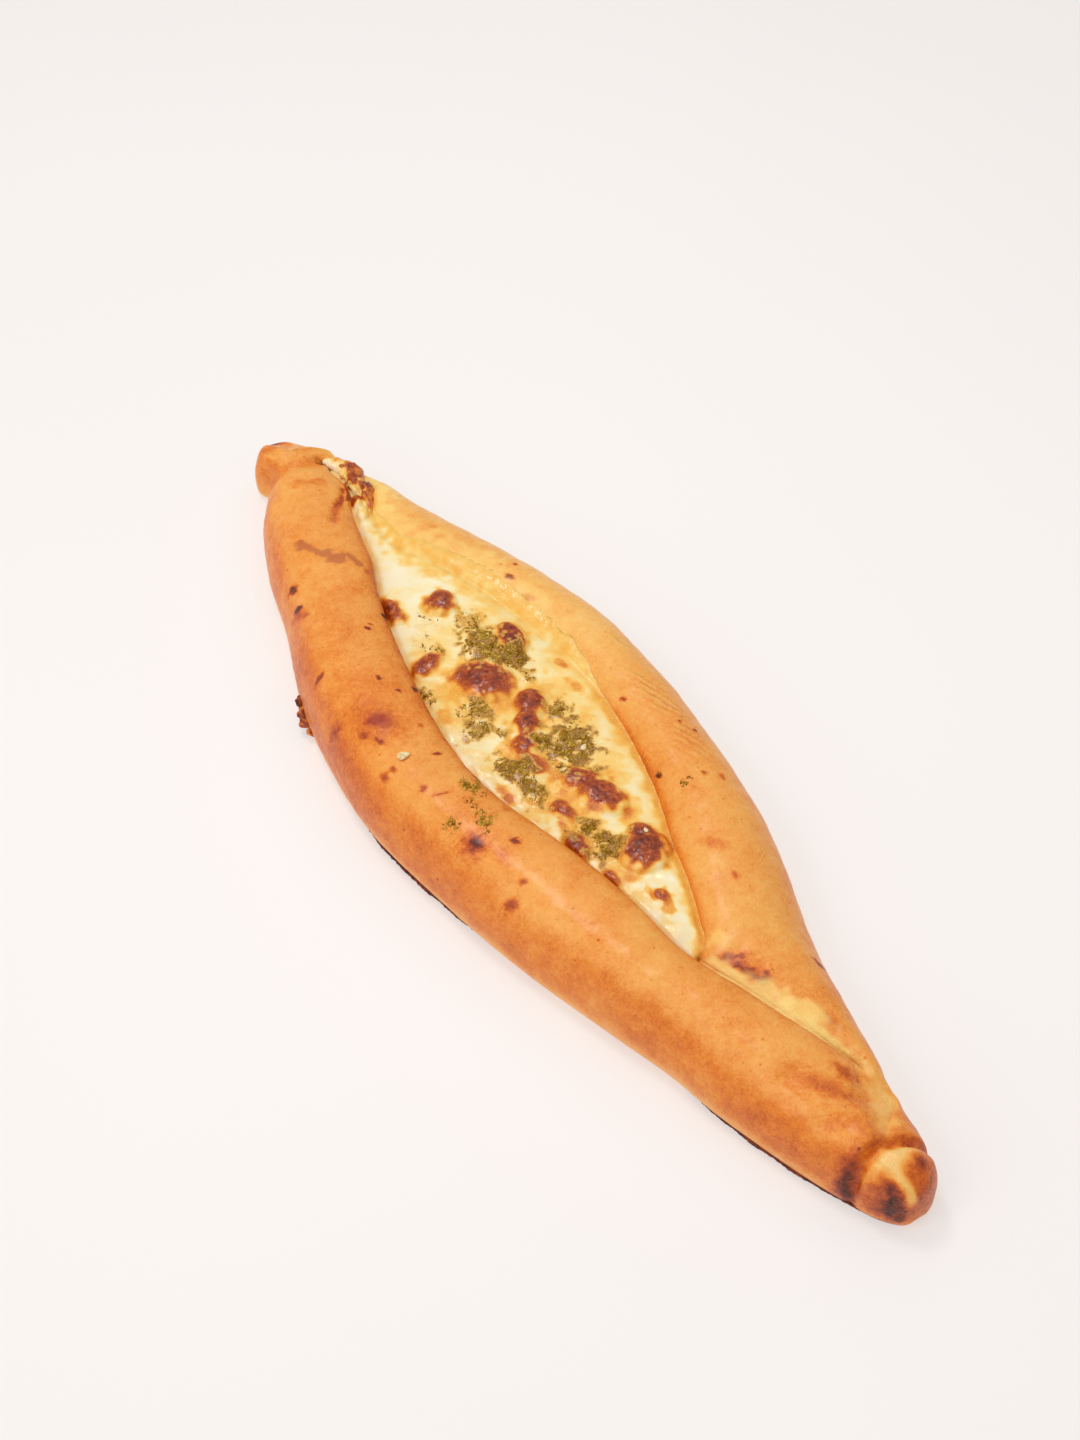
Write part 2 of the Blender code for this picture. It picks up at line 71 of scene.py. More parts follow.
# Each table gives a size at stations along X, as (x, size).
# The sides: how far the near and the far fold bulge from the middle line.
NEAR_SIDE = (
    (-151, 7.0), (-146, 6.3), (-140, 4.2), (-134, 9.8), (-126, 15.6), (-110, 22.9), (-90, 29.2),
    (-70, 37.2), (-50, 42.6), (-20, 46.0), (10, 42.8), (40, 37.2), (70, 28.8), (85, 24.4),
    (100, 21.4), (120, 15.8), (130, 12.4), (136, 10.1), (142, 7.6), (147, 5.2), (151, 4.6),
)
FAR_SIDE = (
    (-151, 10.6), (-146, 11.4), (-138, 14.4), (-126, 19.4), (-117, 22.7), (-100, 27.8), (-80, 34.1),
    (-50, 42.8), (-20, 45.2), (10, 43.3), (40, 38.8), (70, 29.3), (85, 24.5), (100, 20.9),
    (115, 17.4), (125, 13.8), (133, 13.4), (142, 11.6), (147, 10.6), (151, 9.8),
)
# The folds' crests.
NEAR_HEIGHT = (
    (-151, 16.5), (-140, 17.4), (-125, 19.5), (-100, 22.3), (-60, 24.8), (0, 25.9), (50, 25.5),
    (90, 24.6), (120, 22.8), (134, 21.4), (142, 20.0), (151, 18.5),
)
FAR_HEIGHT = (
    (-151, 15.6), (-146, 16.8), (-140, 18.6), (-134, 14.0), (-126, 14.2), (-112, 17.6), (-90, 20.3),
    (-60, 22.3), (0, 23.6), (45, 23.8), (75, 21.4), (100, 19.2), (115, 18.0), (126, 15.4),
    (135, 19.6), (142, 19.3), (151, 18.5),
)
# How far a fold's crest lies from its lip towards its side, and in the healed knobs from the middle.
CREST_SHARE = 0.44
KNOB_CREST_SHARE = 0.15
# Where the folds' lips run, in y. Past the slit's near end the near lip lies on the far fold.
NEAR_LIP = (
    (-136, 11.4), (-129, 10.2), (-121, 10.5), (-117, 9.2), (-111, 6.2), (-100, 2.7), (-90, 0.0),
    (-84, -2.8), (-79, -5.0), (-65, -9.6), (-45, -14.6), (-30, -17.6), (-12, -19.3), (2, -18.1),
    (14, -15.2), (27, -11.8), (40, -9.2), (52, -7.7), (62, -7.2), (73, -4.8), (83, -1.4),
    (94, 2.0), (103, 5.2), (112, 7.7), (120, 9.6), (126, 11.4), (134, 12.0),
)
FAR_LIP = (
    (-136, 13.2), (-128, 15.0), (-118, 15.2), (-112, 13.0), (-107, 10.4), (-100, 8.8), (-92, 8.8),
    (-80, 12.8), (-68, 16.9), (-56, 20.2), (-43, 22.3), (-28, 23.8), (-12, 23.6), (1, 22.1),
    (12, 19.9), (22, 17.2), (37, 11.4), (48, 7.7), (58, 3.8), (66, 0.2), (72, -3.6), (134, -3.6),
)
NEAR_LIP_Z = (
    (-136, 13.6), (-118, 15.2), (-95, 17.0), (-60, 19.0), (0, 19.6), (60, 19.0), (73, 18.6),
    (100, 18.8), (128, 17.5),
)
FAR_LIP_Z = (
    (-136, 13.4), (-118, 14.2), (-95, 15.6), (-60, 17.2), (0, 17.6), (60, 17.2), (73, 16.8),
    (128, 16.5),
)
TROUGH_Z = (
    (-136, 8.6), (-118, 9.0), (-95, 9.0), (-50, 8.0), (30, 8.0), (60, 9.5), (75, 12.0), (128, 12.0),
)
NEAR_LIP_ROUND = ((-136, 1.2), (-90, 3.0))
FAR_LIP_ROUND = 1.2
TUCK = ((-126, 0.3), (-105, 1.0), (-80, 2.0))
SEAM_ROUND = 1.1
SEAM_TUCK = 1.6
SEAM_GAP = 0.9
SLIT_SHUTS = (65.0, 73.0)
SEAM_FADES = (104.0, 116.0)
SEAM_HEALS = (114.0, 124.0)
# Melted cheese filled the seam near the slit, so the far fold meets the lip almost level there.
SEAM_FILLED = (98.0, 112.0)
SEAM_FILL = 1.5
KNOB_ROUNDS = (126.0, 136.0)
FAR_SLIT_HEALS = (-132.0, -137.0)
FAR_KNOB_ROUNDS = (-136.0, -142.0)

# The knob's groove bows away from the knob, more so on its far side.
GROOVE_X = 136.5
GROOVE_Y = -2.0
GROOVE_BOW = (0.01, 0.03)
GROOVE_DEPTH = 2.6
GROOVE_WIDTH = (0.9, 1.9)
# The creases that pinching and folding left in the dough: depth, half width, then (x, y) points.
CREASES = (
    (1.7, 1.7, (137.6, -2.9), (143.4, -1.8), (147.4, 0.0), (150.5, 1.2)),
    (0.7, 3.2, (110.5, -6.6), (117.2, -3.0), (121.8, 0.1), (125.2, 4.1), (127.3, 8.4)),
    (0.5, 2.6, (125.0, -8.4), (128.9, -2.6), (131.7, 2.7), (135.6, 6.7)),
    (1.0, 2.2, (-137.2, -6.5), (-135.0, 1.2), (-133.2, 7.6)),
    (0.9, 1.5, (-149.0, 2.6), (-144.5, 5.2), (-142.0, 3.0)),
    (0.7, 1.0, (-119.2, 7.9), (-114.5, 4.7), (-113.1, 2.5), (-107.6, -2.1)),
)
# The dents and the unevenness fade out between these heights over the table.
FADE_DOWN = (3.0, 10.0)
# How the dough swelled unevenly: the length of a swell and its height, and how much of it goes aside.
SWELLS = ((26.0, 0.7), (11.0, 0.25))
SWELL_ASIDE = 0.5
# Stretch marks where the far fold was pulled round, as (x, y, reach, reach across, turn): fine
# lines so many millimetres apart, which slant by this angle from the boat's length.
STRETCH_MARKS = (-1.0, 35.0, 21.0, 4.6, -6)
STRETCH_GAP = 2.0
STRETCH_SLANT = 22.0

# The skin lies this far inside the solid, so that its bumps stay in it.
SKIN_INSET = 0.14

# The cheese.
CHEESE_EDGE_DROP = 0.45
CHEESE_CROWN = 1.0
CHEESE_FROM = -131.0
CHEESE_TO = 69.0
# Blisters, as (x, y, reach, reach across, turn in degrees, height).
BLISTERS = (
    (-64.9, 6.5, 4.2, 3.8, 0, 1.7),
    (-71.6, -5.7, 5.4, 2.6, 0, 1.5),
    (-42.6, 15.0, 5.6, 3.8, -10, 2.2),
    (-34.4, 1.0, 7.6, 6.2, 30, 2.2),
    (-38.6, -1.6, 4.6, 3.4, 60, 1.5),
    (-48.9, -8.4, 2.8, 5.2, 10, 1.6),
    (-20.8, 6.6, 4.6, 4.0, -20, 2.2),
    (-16.0, 2.4, 4.4, 3.4, -42, 1.9),
    (-10.4, -2.0, 4.2, 3.2, -42, 1.5),
    (14.8, 5.0, 7.0, 4.2, 20, 2.0),
    (7.6, 3.6, 5.4, 3.6, 30, 1.5),
    (35.4, 3.9, 6.0, 6.2, -20, 2.6),
    (31.8, 6.2, 4.6, 3.6, 10, 2.0),
    (12.6, -5.8, 4.2, 2.2, 10, 1.2),
    (24.1, -9.4, 4.4, 2.9, -8, 1.7),
    (37.6, -8.4, 3.0, 2.0, -10, 1.0),
    (49.2, -0.9, 2.8, 1.7, 10, 0.8),
    (-3.5, -4.2, 4.4, 3.4, 0, 1.0),
)
# Browned scraps of cheese that boiled out at the far end of the slit.
SPILLS = (
    (-128.0, 14.2, 2.4, 2.0, 20, 2.6),
    (-124.0, 14.2, 2.4, 2.0, 10, 4.0),
    (-121.4, 12.6, 2.2, 1.8, 10, 3.2),
    (-117.8, 13.6, 2.4, 2.2, -10, 3.6),
    (-114.2, 13.0, 2.2, 1.8, -20, 2.6),
    (-114.4, 9.6, 2.2, 1.6, -30, 1.6),
    (-109.0, 8.2, 2.6, 1.6, -30, 1.2),
)
# What only the looks have, on the cheese: how far it melted over the far lip, as (x, reach).
MELTED_OVER = (
    (-114, 0.0), (-106, 1.8), (-94, 3.4), (-78, 5.4), (-62, 6.4), (-46, 5.4), (-34, 4.0), (-24, 2.8),
    (-16, 1.2), (-8, 0.0),
)
# Small blisters and browned film, as (x, y, reach, reach across, turn, level of browning).
CHEESE_BROWNING = (
    (-34.4, -7.9, 8.0, 5.0, -20, 0.44), (-42.6, -4.9, 5.0, 4.0, 0, 0.34),
    (-25.3, -1.1, 5.0, 4.4, 0, 0.46), (-19.2, 6.5, 8.0, 5.4, -30, 0.46),
    (-8.3, -4.9, 8.0, 4.6, -20, 0.50), (4.2, 0.2, 8.6, 5.4, 0, 0.52), (14.6, -5.4, 10.0, 4.8, 10, 0.49),
    (24.9, -5.7, 8.0, 4.6, 0, 0.46), (37.0, -4.8, 7.0, 4.0, 0, 0.38), (10.7, 10.7, 6.0, 3.6, -30, 0.34),
    (-22.5, 14.3, 7.0, 3.0, -10, 0.24), (-7.8, 15.4, 6.0, 2.4, -10, 0.30),
    (23.4, 8.0, 7.0, 3.0, -20, 0.36), (-54.6, 1.6, 6.0, 4.0, 0, 0.20), (-48.1, -3.1, 5.0, 4.0, 0, 0.26),
    (57.1, -4.5, 5.0, 1.6, -30, 0.26), (45.0, -5.8, 5.0, 2.0, 0, 0.30), (0.9, -15.0, 2.7, 1.7, 0, 0.62),
    (39.9, -3.7, 2.0, 1.6, 0, 0.50), (16.0, -8.3, 3.4, 1.2, -8, 0.56), (11.3, 10.5, 2.4, 1.6, 0, 0.50),
    (-48.0, 5.0, 1.5, 1.1, 0, 0.72), (-31.6, -14.0, 2.6, 1.4, 0, 0.50),
    (-53.9, 12.7, 2.0, 1.2, 0, 0.42), (49.2, -0.7, 3.6, 2.0, 10, 0.52), (53.0, -1.9, 1.9, 1.2, 10, 0.50),
    (38.3, -7.9, 3.4, 2.4, 0, 0.50), (-27.4, 21.2, 2.0, 1.0, 20, 0.56), (-20.0, 19.6, 3.0, 1.2, 10, 0.50),
    (-66.0, 14.6, 3.0, 1.6, 20, 0.38), (-76.0, 10.4, 3.0, 1.4, 20, 0.38), (-84.0, 7.2, 2.4, 1.2, 20, 0.38),
)
# Dried herbs: clumps as (x, y, reach, reach across, flakes, how wet and dark the cheese is under them).
CHEESE_HERBS = (
    (-54.7, 8.5, 4.0, 3.5, 100, 0.55), (-45.4, 7.2, 5.2, 4.8, 520, 0.95),
    (-36.8, 11.8, 4.4, 3.6, 360, 1.0), (-39.9, 8.7, 4.0, 3.6, 260, 0.9),
    (-29.4, 11.7, 2.4, 1.8, 44, 0.5), (-48.5, 9.9, 2.6, 1.8, 90, 0.5),
    (-62.6, 1.2, 3.4, 3.4, 22, 0.2), (-55.6, -4.4, 4.4, 2.4, 30, 0.2), (-50.4, -2.9, 2.0, 1.2, 40, 0.5),
    (-27.4, -5.2, 3.6, 2.5, 190, 0.8), (-28.2, -9.1, 3.6, 2.4, 60, 0.3),
    (-21.9, -9.6, 2.8, 4.0, 240, 0.85), (-40.0, -14.2, 4.0, 2.0, 90, 0.5),
    (-17.1, -4.9, 1.8, 1.4, 50, 0.6), (-15.1, 11.7, 2.6, 2.6, 170, 0.85),
    (-3.4, 8.2, 6.4, 5.6, 820, 1.0), (-8.8, 1.9, 2.8, 2.4, 210, 1.0),
    (-3.5, -7.7, 4.2, 3.2, 300, 0.95), (3.5, -8.4, 4.2, 3.0, 270, 0.95),
    (-7.2, -10.5, 3.4, 2.4, 220, 0.95), (2.3, 1.3, 2.6, 1.8, 60, 0.6),
    (20.4, -3.7, 2.3, 3.0, 180, 0.85), (25.4, -2.6, 2.0, 2.6, 90, 0.9),
    (29.4, -2.4, 3.2, 4.8, 320, 0.95), (20.4, -8.9, 3.0, 1.6, 30, 0.3), (-9.7, 13.0, 2.4, 1.4, 34, 0.3),
)
# Clumps of herbs on the crust, as (x, y, reach, reach across, flakes).
CRUST_HERBS = (
    (-3.3, -23.6, 3.0, 3.0, 300), (8.6, -27.4, 2.6, 2.4, 220), (3.3, -27.3, 3.0, 2.2, 40),
    (5.0, -34.6, 3.0, 2.2, 110), (12.4, -28.8, 1.6, 1.6, 16), (0.4, -24.0, 1.6, 4.0, 24),
    (26.8, 23.3, 2.4, 2.2, 40), (18.7, 20.4, 1.0, 0.7, 14), (9.0, -24.8, 2.4, 1.4, 16),
)
# Sesame seeds, as (x, y, turn in degrees, length, width).
SEEDS = (
    (-20.0, -33.2, 84, 3.3, 2.2), (-0.4, 9.8, 30, 2.3, 1.4), (3.0, 1.0, -60, 2.2, 1.2),
    (31.4, 7.0, 10, 1.7, 1.1),
)

# The sizes in millimetres of what varies over the crust: its broad and small patches, its mottling
# and the ragged edges of its spots. Then the same on the cheese.
CRUST_PATCHES = (24.0, 8.0, 3.0, 1.1)
CHEESE_PATCHES = (7.0, 2.6, 1.0)
# How much the broad patches, the small ones and the mottling change the crust's browning.
UNEVEN_BAKE = (0.055, 0.05, 0.045)
# How brown the near and the far fold are along X: 0 is raw dough's cream, 1 is black char.
NEAR_BAKE = (
    (-150, 0.40), (-135, 0.42), (-110, 0.45), (-90, 0.46), (-60, 0.48), (-30, 0.49), (0, 0.47),
    (40, 0.455), (70, 0.41), (100, 0.44), (125, 0.46), (136, 0.50), (141, 0.50), (150, 0.56),
)
FAR_BAKE = (
    (-150, 0.38), (-130, 0.31), (-110, 0.31), (-80, 0.34), (-40, 0.32), (-15, 0.33), (10, 0.42),
    (40, 0.39), (60, 0.41), (72, 0.39), (88, 0.43), (110, 0.45), (125, 0.44), (150, 0.56),
)
# Where the crust is browner than that: on its sides, along the near and the far lip, and on the
# stretch marks. Then the levels of the low strip over the stone, painted paler as painted bounce
# light from the white table, of pale dough, of the dough under the cheese, of the burnt foot, whose
# line is also painted contact shadow, of the foot's scorched rest, also painted contact shadow, and
# of the floor.
SIDE_BROWNER = 0.115
LIP_BAKE = (0.08, 0.10)
STRETCH_BAKE = 0.05
PAINTED_BOUNCE_LEVEL = 0.40
PALE_BAKE = 0.16
TROUGH_BAKE = 0.1
BURNT_AND_SHADOW_LEVEL = 0.93
SCORCHED_AND_SHADOW_LEVEL = 0.7
FLOOR_BAKE = 0.60
# Scorched specks on the crust, as (x, y, reach, reach across, turn, level, softness).
SPECKS = (
    (-92.7, -24.2, 1.4, 1.1, 0, 0.84, 0.5), (-85.5, -26.8, 1.3, 1.0, 20, 0.86, 0.4),
    (-83.0, -27.6, 2.4, 1.2, 20, 0.68, 0.8), (-64.7, -16.6, 0.9, 0.5, 30, 0.88, 0.4),
    (-66.0, -15.2, 0.7, 0.3, 40, 0.84, 0.4), (-68.4, -8.8, 1.1, 0.8, 10, 0.96, 0.4),
    (-84.6, -4.2, 1.2, 0.9, 60, 0.66, 0.6), (-59.1, -35.9, 0.8, 1.8, 0, 0.78, 0.5),
    (-41.9, -41.2, 1.5, 1.5, 0, 0.74, 0.9), (-34.7, -32.4, 2.8, 1.7, 60, 0.74, 0.5),
    (-34.0, -33.0, 6.6, 4.6, 30, 0.62, 0.9), (-33.4, -37.4, 1.5, 0.8, 0, 0.74, 0.6),
    (-28.5, -35.5, 1.6, 0.7, 20, 0.78, 0.5), (-18.8, -40.0, 1.4, 0.8, 0, 0.74, 0.6),
    (-19.0, -37.3, 1.0, 0.7, 0, 0.72, 0.6), (-47.0, -24.1, 0.9, 0.4, 10, 0.90, 0.4),
    (-40.5, -21.9, 0.8, 0.5, 10, 0.84, 0.4), (-40.2, -17.4, 0.9, 0.8, 0, 0.90, 0.4),
    (-8.4, -34.5, 0.9, 0.9, 0, 0.74, 0.6), (-4.2, -31.6, 2.6, 0.3, 70, 0.74, 0.5),
    (-6.1, -19.8, 1.0, 0.7, 0, 0.88, 0.4), (18.9, -24.6, 1.2, 1.0, 30, 0.80, 0.2),
    (13.2, -33.2, 2.1, 1.8, 20, 0.86, 0.7), (13.2, -33.2, 3.4, 3.0, 20, 0.68, 0.9),
    (29.9, -29.7, 0.9, 0.9, 0, 0.72, 0.6), (31.9, -34.6, 1.8, 1.1, 50, 0.72, 0.6),
    (20.6, -29.9, 2.2, 1.8, 0, 0.58, 0.9), (-16.4, -25.2, 1.4, 0.4, 70, 0.80, 0.4),
    (-20.4, -19.4, 1.8, 0.5, 40, 0.70, 0.5), (-27.0, -23.6, 0.7, 0.6, 0, 0.70, 0.5),
    (-60.5, 26.4, 1.4, 0.9, 20, 0.82, 0.5), (-64.0, 30.6, 0.5, 0.5, 0, 0.86, 0.4),
    (-66.0, 27.0, 0.4, 0.4, 0, 0.80, 0.4), (-51.4, 26.3, 1.9, 1.1, 60, 0.62, 0.8),
    (-49.6, 25.0, 0.5, 0.4, 0, 0.80, 0.4), (-6.9, 26.8, 0.9, 0.6, 0, 0.76, 0.5),
    (-73.2, 18.2, 1.6, 1.2, 0, 0.46, 0.9), (-87.3, 12.4, 1.5, 0.8, 30, 0.52, 0.8),
    (8.6, 34.4, 0.5, 0.5, 0, 0.80, 0.4), (12.8, 36.1, 0.6, 0.5, 0, 0.88, 0.4),
    (29.7, 32.5, 1.2, 0.8, 0, 0.66, 0.7), (26.4, 28.6, 0.8, 0.6, 0, 0.72, 0.5),
    (56.7, 16.2, 1.2, 0.8, 0, 0.64, 0.7), (46.0, 17.9, 3.4, 1.4, 30, 0.56, 0.9),
    (18.6, 20.2, 0.9, 0.6, 0, 0.88, 0.4), (86.7, 20.6, 1.6, 0.8, 20, 0.84, 0.6),
    (103.0, 11.6, 3.0, 1.6, 20, 0.62, 0.9), (96.0, 5.8, 1.6, 0.8, 20, 0.62, 0.8),
    (-109.6, 11.6, 0.7, 0.6, 0, 0.74, 0.5), (-98.0, 17.5, 1.2, 0.7, 20, 0.50, 0.9),
    (-90.0, 20.0, 1.3, 0.8, 20, 0.50, 0.9), (8.0, -20.0, 0.8, 0.5, 0, 0.62, 0.6),
    (-31.6, 23.4, 1.8, 1.0, 30, 0.56, 0.8), (-22.6, 21.6, 2.4, 1.0, 20, 0.50, 0.8),
)
# Browned strokes, as (level, half width, softness, (x, y) points ...).
STROKES = (
    (0.74, 0.9, 0.5, (73.2, 1.0), (74.8, 2.2), (75.8, 4.2), (76.8, 3.2), (77.4, 1.2)),
    (0.76, 0.9, 0.5, (76.6, 1.8), (79.0, 2.2), (80.8, 3.8), (82.4, 3.4), (84.8, 4.4), (83.6, 6.0)),
    (0.66, 1.6, 0.8, (73.8, 1.0), (77.0, 2.2), (81.0, 3.4), (84.4, 4.8)),
    (0.56, 3.2, 0.9, (73.6, 1.0), (84.4, 4.6)),
    (0.72, 0.7, 0.6, (-119.2, 7.9), (-114.5, 4.7), (-113.1, 2.5)),
    (0.62, 1.2, 0.8, (-113.6, 3.4), (-107.6, -2.1)),
    (0.80, 0.6, 0.5, (-122.4, 10.4), (-117.8, 8.8), (-114.6, 6.6)),
    (0.55, 2.8, 0.9, (110.0, -8.0), (113.0, -6.0), (117.2, -2.8), (121.8, 0.1), (125.2, 3.8)),
    (0.62, 1.5, 0.9, (115.6, -4.0), (119.2, -2.2), (122.8, -0.2)),
    (0.55, 1.6, 0.9, (125.7, -7.4), (128.9, -2.6), (131.7, 2.7), (136.0, 6.7)),
    (0.66, 1.5, 0.9, (115.0, 3.0), (118.6, 4.2)),
    # These three trace the knob's groove: browning, and painted shade in the groove.
    (0.72, 1.7, 0.9, (136.8, -11.0), (137.2, -7.7), (136.6, -4.6)),
    (0.68, 1.4, 0.9, (136.8, -5.0), (136.2, -1.1), (137.4, 2.7), (138.8, 6.0), (140.2, 9.3)),
    (0.57, 3.0, 0.9, (134.6, -12.0), (135.0, -8.0), (135.2, -4.0), (135.6, -1.0)),
    (0.52, 1.5, 0.9, (-138.6, -6.8), (-136.2, 1.2), (-134.4, 8.6)),
    (0.54, 1.4, 0.9, (-128.0, -3.0), (-124.0, 3.6)),
)
# The char and browning on the knobs' lobes, as (x, y, reach, reach across, turn, level, softness).
KNOB_CHAR = (
    (143.6, -6.2, 3.4, 2.4, -40, 0.70, 0.9), (146.1, -4.5, 2.4, 1.8, -40, 0.93, 0.9),
    (148.4, -3.1, 1.8, 1.3, -40, 0.84, 0.9), (142.0, -8.6, 5.0, 3.0, -30, 0.60, 0.9),
    (144.8, 3.6, 2.8, 3.2, 20, 0.68, 0.9), (144.5, 5.0, 1.5, 1.4, 0, 0.78, 0.9),
    (146.4, 1.2, 2.0, 1.4, 30, 0.66, 0.9), (142.0, 8.4, 5.0, 3.0, 60, 0.60, 0.9),
    (149.6, 3.4, 3.4, 4.6, 0, 0.64, 0.9), (149.0, -2.6, 3.0, 4.0, 0, 0.62, 0.9),
    # These two, at the groove's foot, are char and painted shade in the groove.
    (136.2, -10.0, 1.9, 1.8, 0, 0.88, 0.9), (135.6, -8.6, 2.4, 2.2, 0, 0.72, 0.9),
    (-146.8, -4.0, 7.0, 6.0, 0, 0.43, 0.9), (-146.6, -1.0, 3.6, 1.8, 60, 0.55, 0.9),
    (-150.0, 6.0, 3.0, 5.0, 0, 0.62, 0.9), (-150.6, 1.6, 1.4, 2.0, 0, 0.90, 0.9),
)
# Pale ridges on the near knob, and by the seam a pale strip that is painted highlight along the near
# lip, as ((x, y) points), half width and how pale.
PALE_RIDGES_AND_SEAM_HIGHLIGHT = (
    (((139.4, -3.6), (140.0, -1.4), (140.4, 1.0)), 2.9, 0.64),
    (((140.4, -2.6), (143.0, -2.0), (145.0, -2.0)), 1.7, 0.66),
    (((145.0, -2.0), (147.4, -1.5), (149.3, -1.2)), 1.1, 0.75),
    (((139.6, -2.0), (140.4, 1.4), (141.3, 5.7), (141.0, 7.6)), 1.1, 0.6),
    (((124.6, 9.6), (128.4, 7.0), (131.5, 4.6)), 2.6, 0.6),
    # These two by the seam are painted highlight along the near lip, over the seam's shade.
    (((93.0, 4.0), (99.0, 5.8), (107.0, 8.4)), 1.5, 1.0),
    (((107.0, 8.4), (112.0, 9.8), (118.0, 10.8)), 1.2, 0.6),
)
# Spilled sauce that dried to a thin red-brown film, as (half width, (x, y) points ...).
STAIN = (
    (1.5, (-104.8, -14.6), (-101.6, -14.4), (-99.6, -13.5)),
    (1.1, (-99.6, -13.5), (-97.4, -13.2), (-95.4, -12.2)),
    (1.9, (-94.8, -11.2), (-92.9, -10.0), (-91.8, -8.8)),
    (1.0, (-94.0, -9.4), (-92.0, -6.4), (-88.2, -5.3)),
    (2.6, (-35.4, -32.4), (-33.4, -30.8)),
)
# Where melted cheese left a yellow film on the crust, as (x, y, reach, reach across, turn, strength).
CHEESE_FILM = (
    (-129.0, 16.0, 7.0, 4.0, 18, 0.9), (-119.0, 18.0, 8.0, 4.4, 12, 0.85),
    (-107.0, 12.6, 7.0, 3.2, -20, 0.8), (-97.0, 12.0, 8.0, 3.4, 10, 0.55),
    (-84.0, 16.4, 9.0, 4.0, 24, 0.55), (-70.0, 22.0, 10.0, 4.6, 20, 0.55),
    (-54.0, 25.6, 10.0, 4.2, 8, 0.45), (-40.0, 27.0, 9.0, 3.2, 6, 0.3),
    (88.0, 4.6, 6.0, 2.0, 22, 0.85), (96.0, 7.6, 7.0, 2.2, 22, 0.75), (69.0, 2.4, 4.0, 2.6, 0, 0.55),
)
# The thin line of cheese in the seam past the slit's near end.
SEAM_CHEESE = ((72.0, -2.4), (83.0, 0.6), (94.0, 4.0), (104.0, 7.6), (111.0, 9.4))
# Where the egg wash pooled and baked to a glaze, as (x, y, reach, reach across, turn, strength).
EGG_POOLS = (
    (118.0, -9.6, 9.0, 5.0, 24, 1.0), (86.0, -11.0, 14.0, 5.0, 20, 0.7),
    (34.0, -23.0, 22.0, 6.0, 14, 0.8), (-44.0, -30.0, 16.0, 6.0, -8, 0.4),
    (-100.0, -6.0, 10.0, 4.0, -24, 0.4), (-56.0, 32.0, 18.0, 5.0, 10, 0.3),
)
# A ridge of browned cheese that boiled over the far lip, as (x, y, z, radius, level of browning).
RIDGE = (
    (-135.6, 11.0, 14.2, 1.4, 0.16), (-132.6, 12.6, 14.4, 2.0, 0.20), (-129.6, 13.9, 14.6, 2.4, 0.30),
    (-127.0, 14.4, 14.9, 2.5, 0.46), (-124.6, 14.4, 15.1, 2.5, 0.52), (-122.2, 13.8, 15.1, 2.3, 0.40),
    (-119.8, 13.6, 15.1, 2.4, 0.38), (-117.6, 13.8, 15.2, 2.5, 0.50), (-115.4, 13.0, 15.0, 2.3, 0.42),
    (-113.2, 12.0, 14.7, 2.0, 0.32), (-110.4, 10.9, 14.7, 1.7, 0.24), (-107.0, 9.6, 14.7, 1.3, 0.20),
)
# The rim under the near side, burnt crust that is also painted contact shadow: its stretches along
# X, how far it stands out of the foot, as (x, out), and its height.
BASE_EDGES = ((-40.0, 36.0), (84.0, 147.5))
BASE_EDGE_OUT = (
    (-40, 3.7), (-10, 3.4), (10, 3.1), (38, 2.7), (84, 2.2), (110, 2.0), (140, 1.7), (148, 1.6),
)
BASE_EDGE_HEIGHT = 0.9
# Scraps of cheese against the near side's foot, as (x, z, radius, level of browning).
FOOT_CRUMBS = (
    (-66.8, 5.2, 1.5, 0.80), (-64.2, 3.4, 1.9, 0.62), (-61.0, 3.8, 2.2, 0.70),
    (-57.6, 2.6, 1.5, 0.60),
)


def along(table, x):
    """The size at x on a smooth curve through a table's stations."""
    if x <= table[0][0]:
        return table[0][1]
    if x >= table[-1][0]:
        return table[-1][1]
    i = max(k for k in range(len(table) - 1) if table[k][0] <= x)

    def slope(k):
        low, high = max(k - 1, 0), min(k + 1, len(table) - 1)
        return (table[high][1] - table[low][1]) / (table[high][0] - table[low][0])

    (x0, y0), (x1, y1) = table[i], table[i + 1]
    step = x1 - x0
    t = (x - x0) / step
    return (
        y0 * (1 + 2 * t) * (1 - t) ** 2
        + slope(i) * step * t * (1 - t) ** 2
        + y1 * t * t * (3 - 2 * t)
        + slope(i + 1) * step * t * t * (t - 1)
    )


def ease(low, high, x):
    """0 at low, 1 at high, and smooth between them."""
    t = min(1.0, max(0.0, (x - low) / (high - low)))
    return t * t * (3 - 2 * t)


def mixed(points_a, points_b, share):
    """Points on the way from one outline to another, at that share of it."""
    return [
        ((1 - share) * a[0] + share * b[0], (1 - share) * a[1] + share * b[1])
        for a, b in zip(points_a, points_b)
    ]


def line(a, b, count):
    """count points on the way from a to b, leaving a out."""
    step = ((b[0] - a[0]) / count, (b[1] - a[1]) / count)
    return [(a[0] + step[0] * i, a[1] + step[1] * i) for i in range(1, count + 1)]


def quarter(a, b, count, flat_start, power=2.0):
    """count points on a quarter of a superellipse from a to b, which leaves a level, or upright."""
    points = []
    for i in range(1, count + 1):
        t = 0.5 * math.pi * i / count
        level, upright = math.sin(t) ** (2 / power), 1 - math.cos(t) ** (2 / power)
        if not flat_start:
            level, upright = upright, level
        points.append((a[0] + (b[0] - a[0]) * level, a[1] + (b[1] - a[1]) * upright))
    return points


# How many points each stretch of a fold's outline has: about 0.8 mm apart where it shows.
FLOOR_POINTS, FOOT_POINTS, OUTER_POINTS, INNER_POINTS, UNDER_POINTS, WALL_POINTS = 4, 7, 34, 24, 6, 2


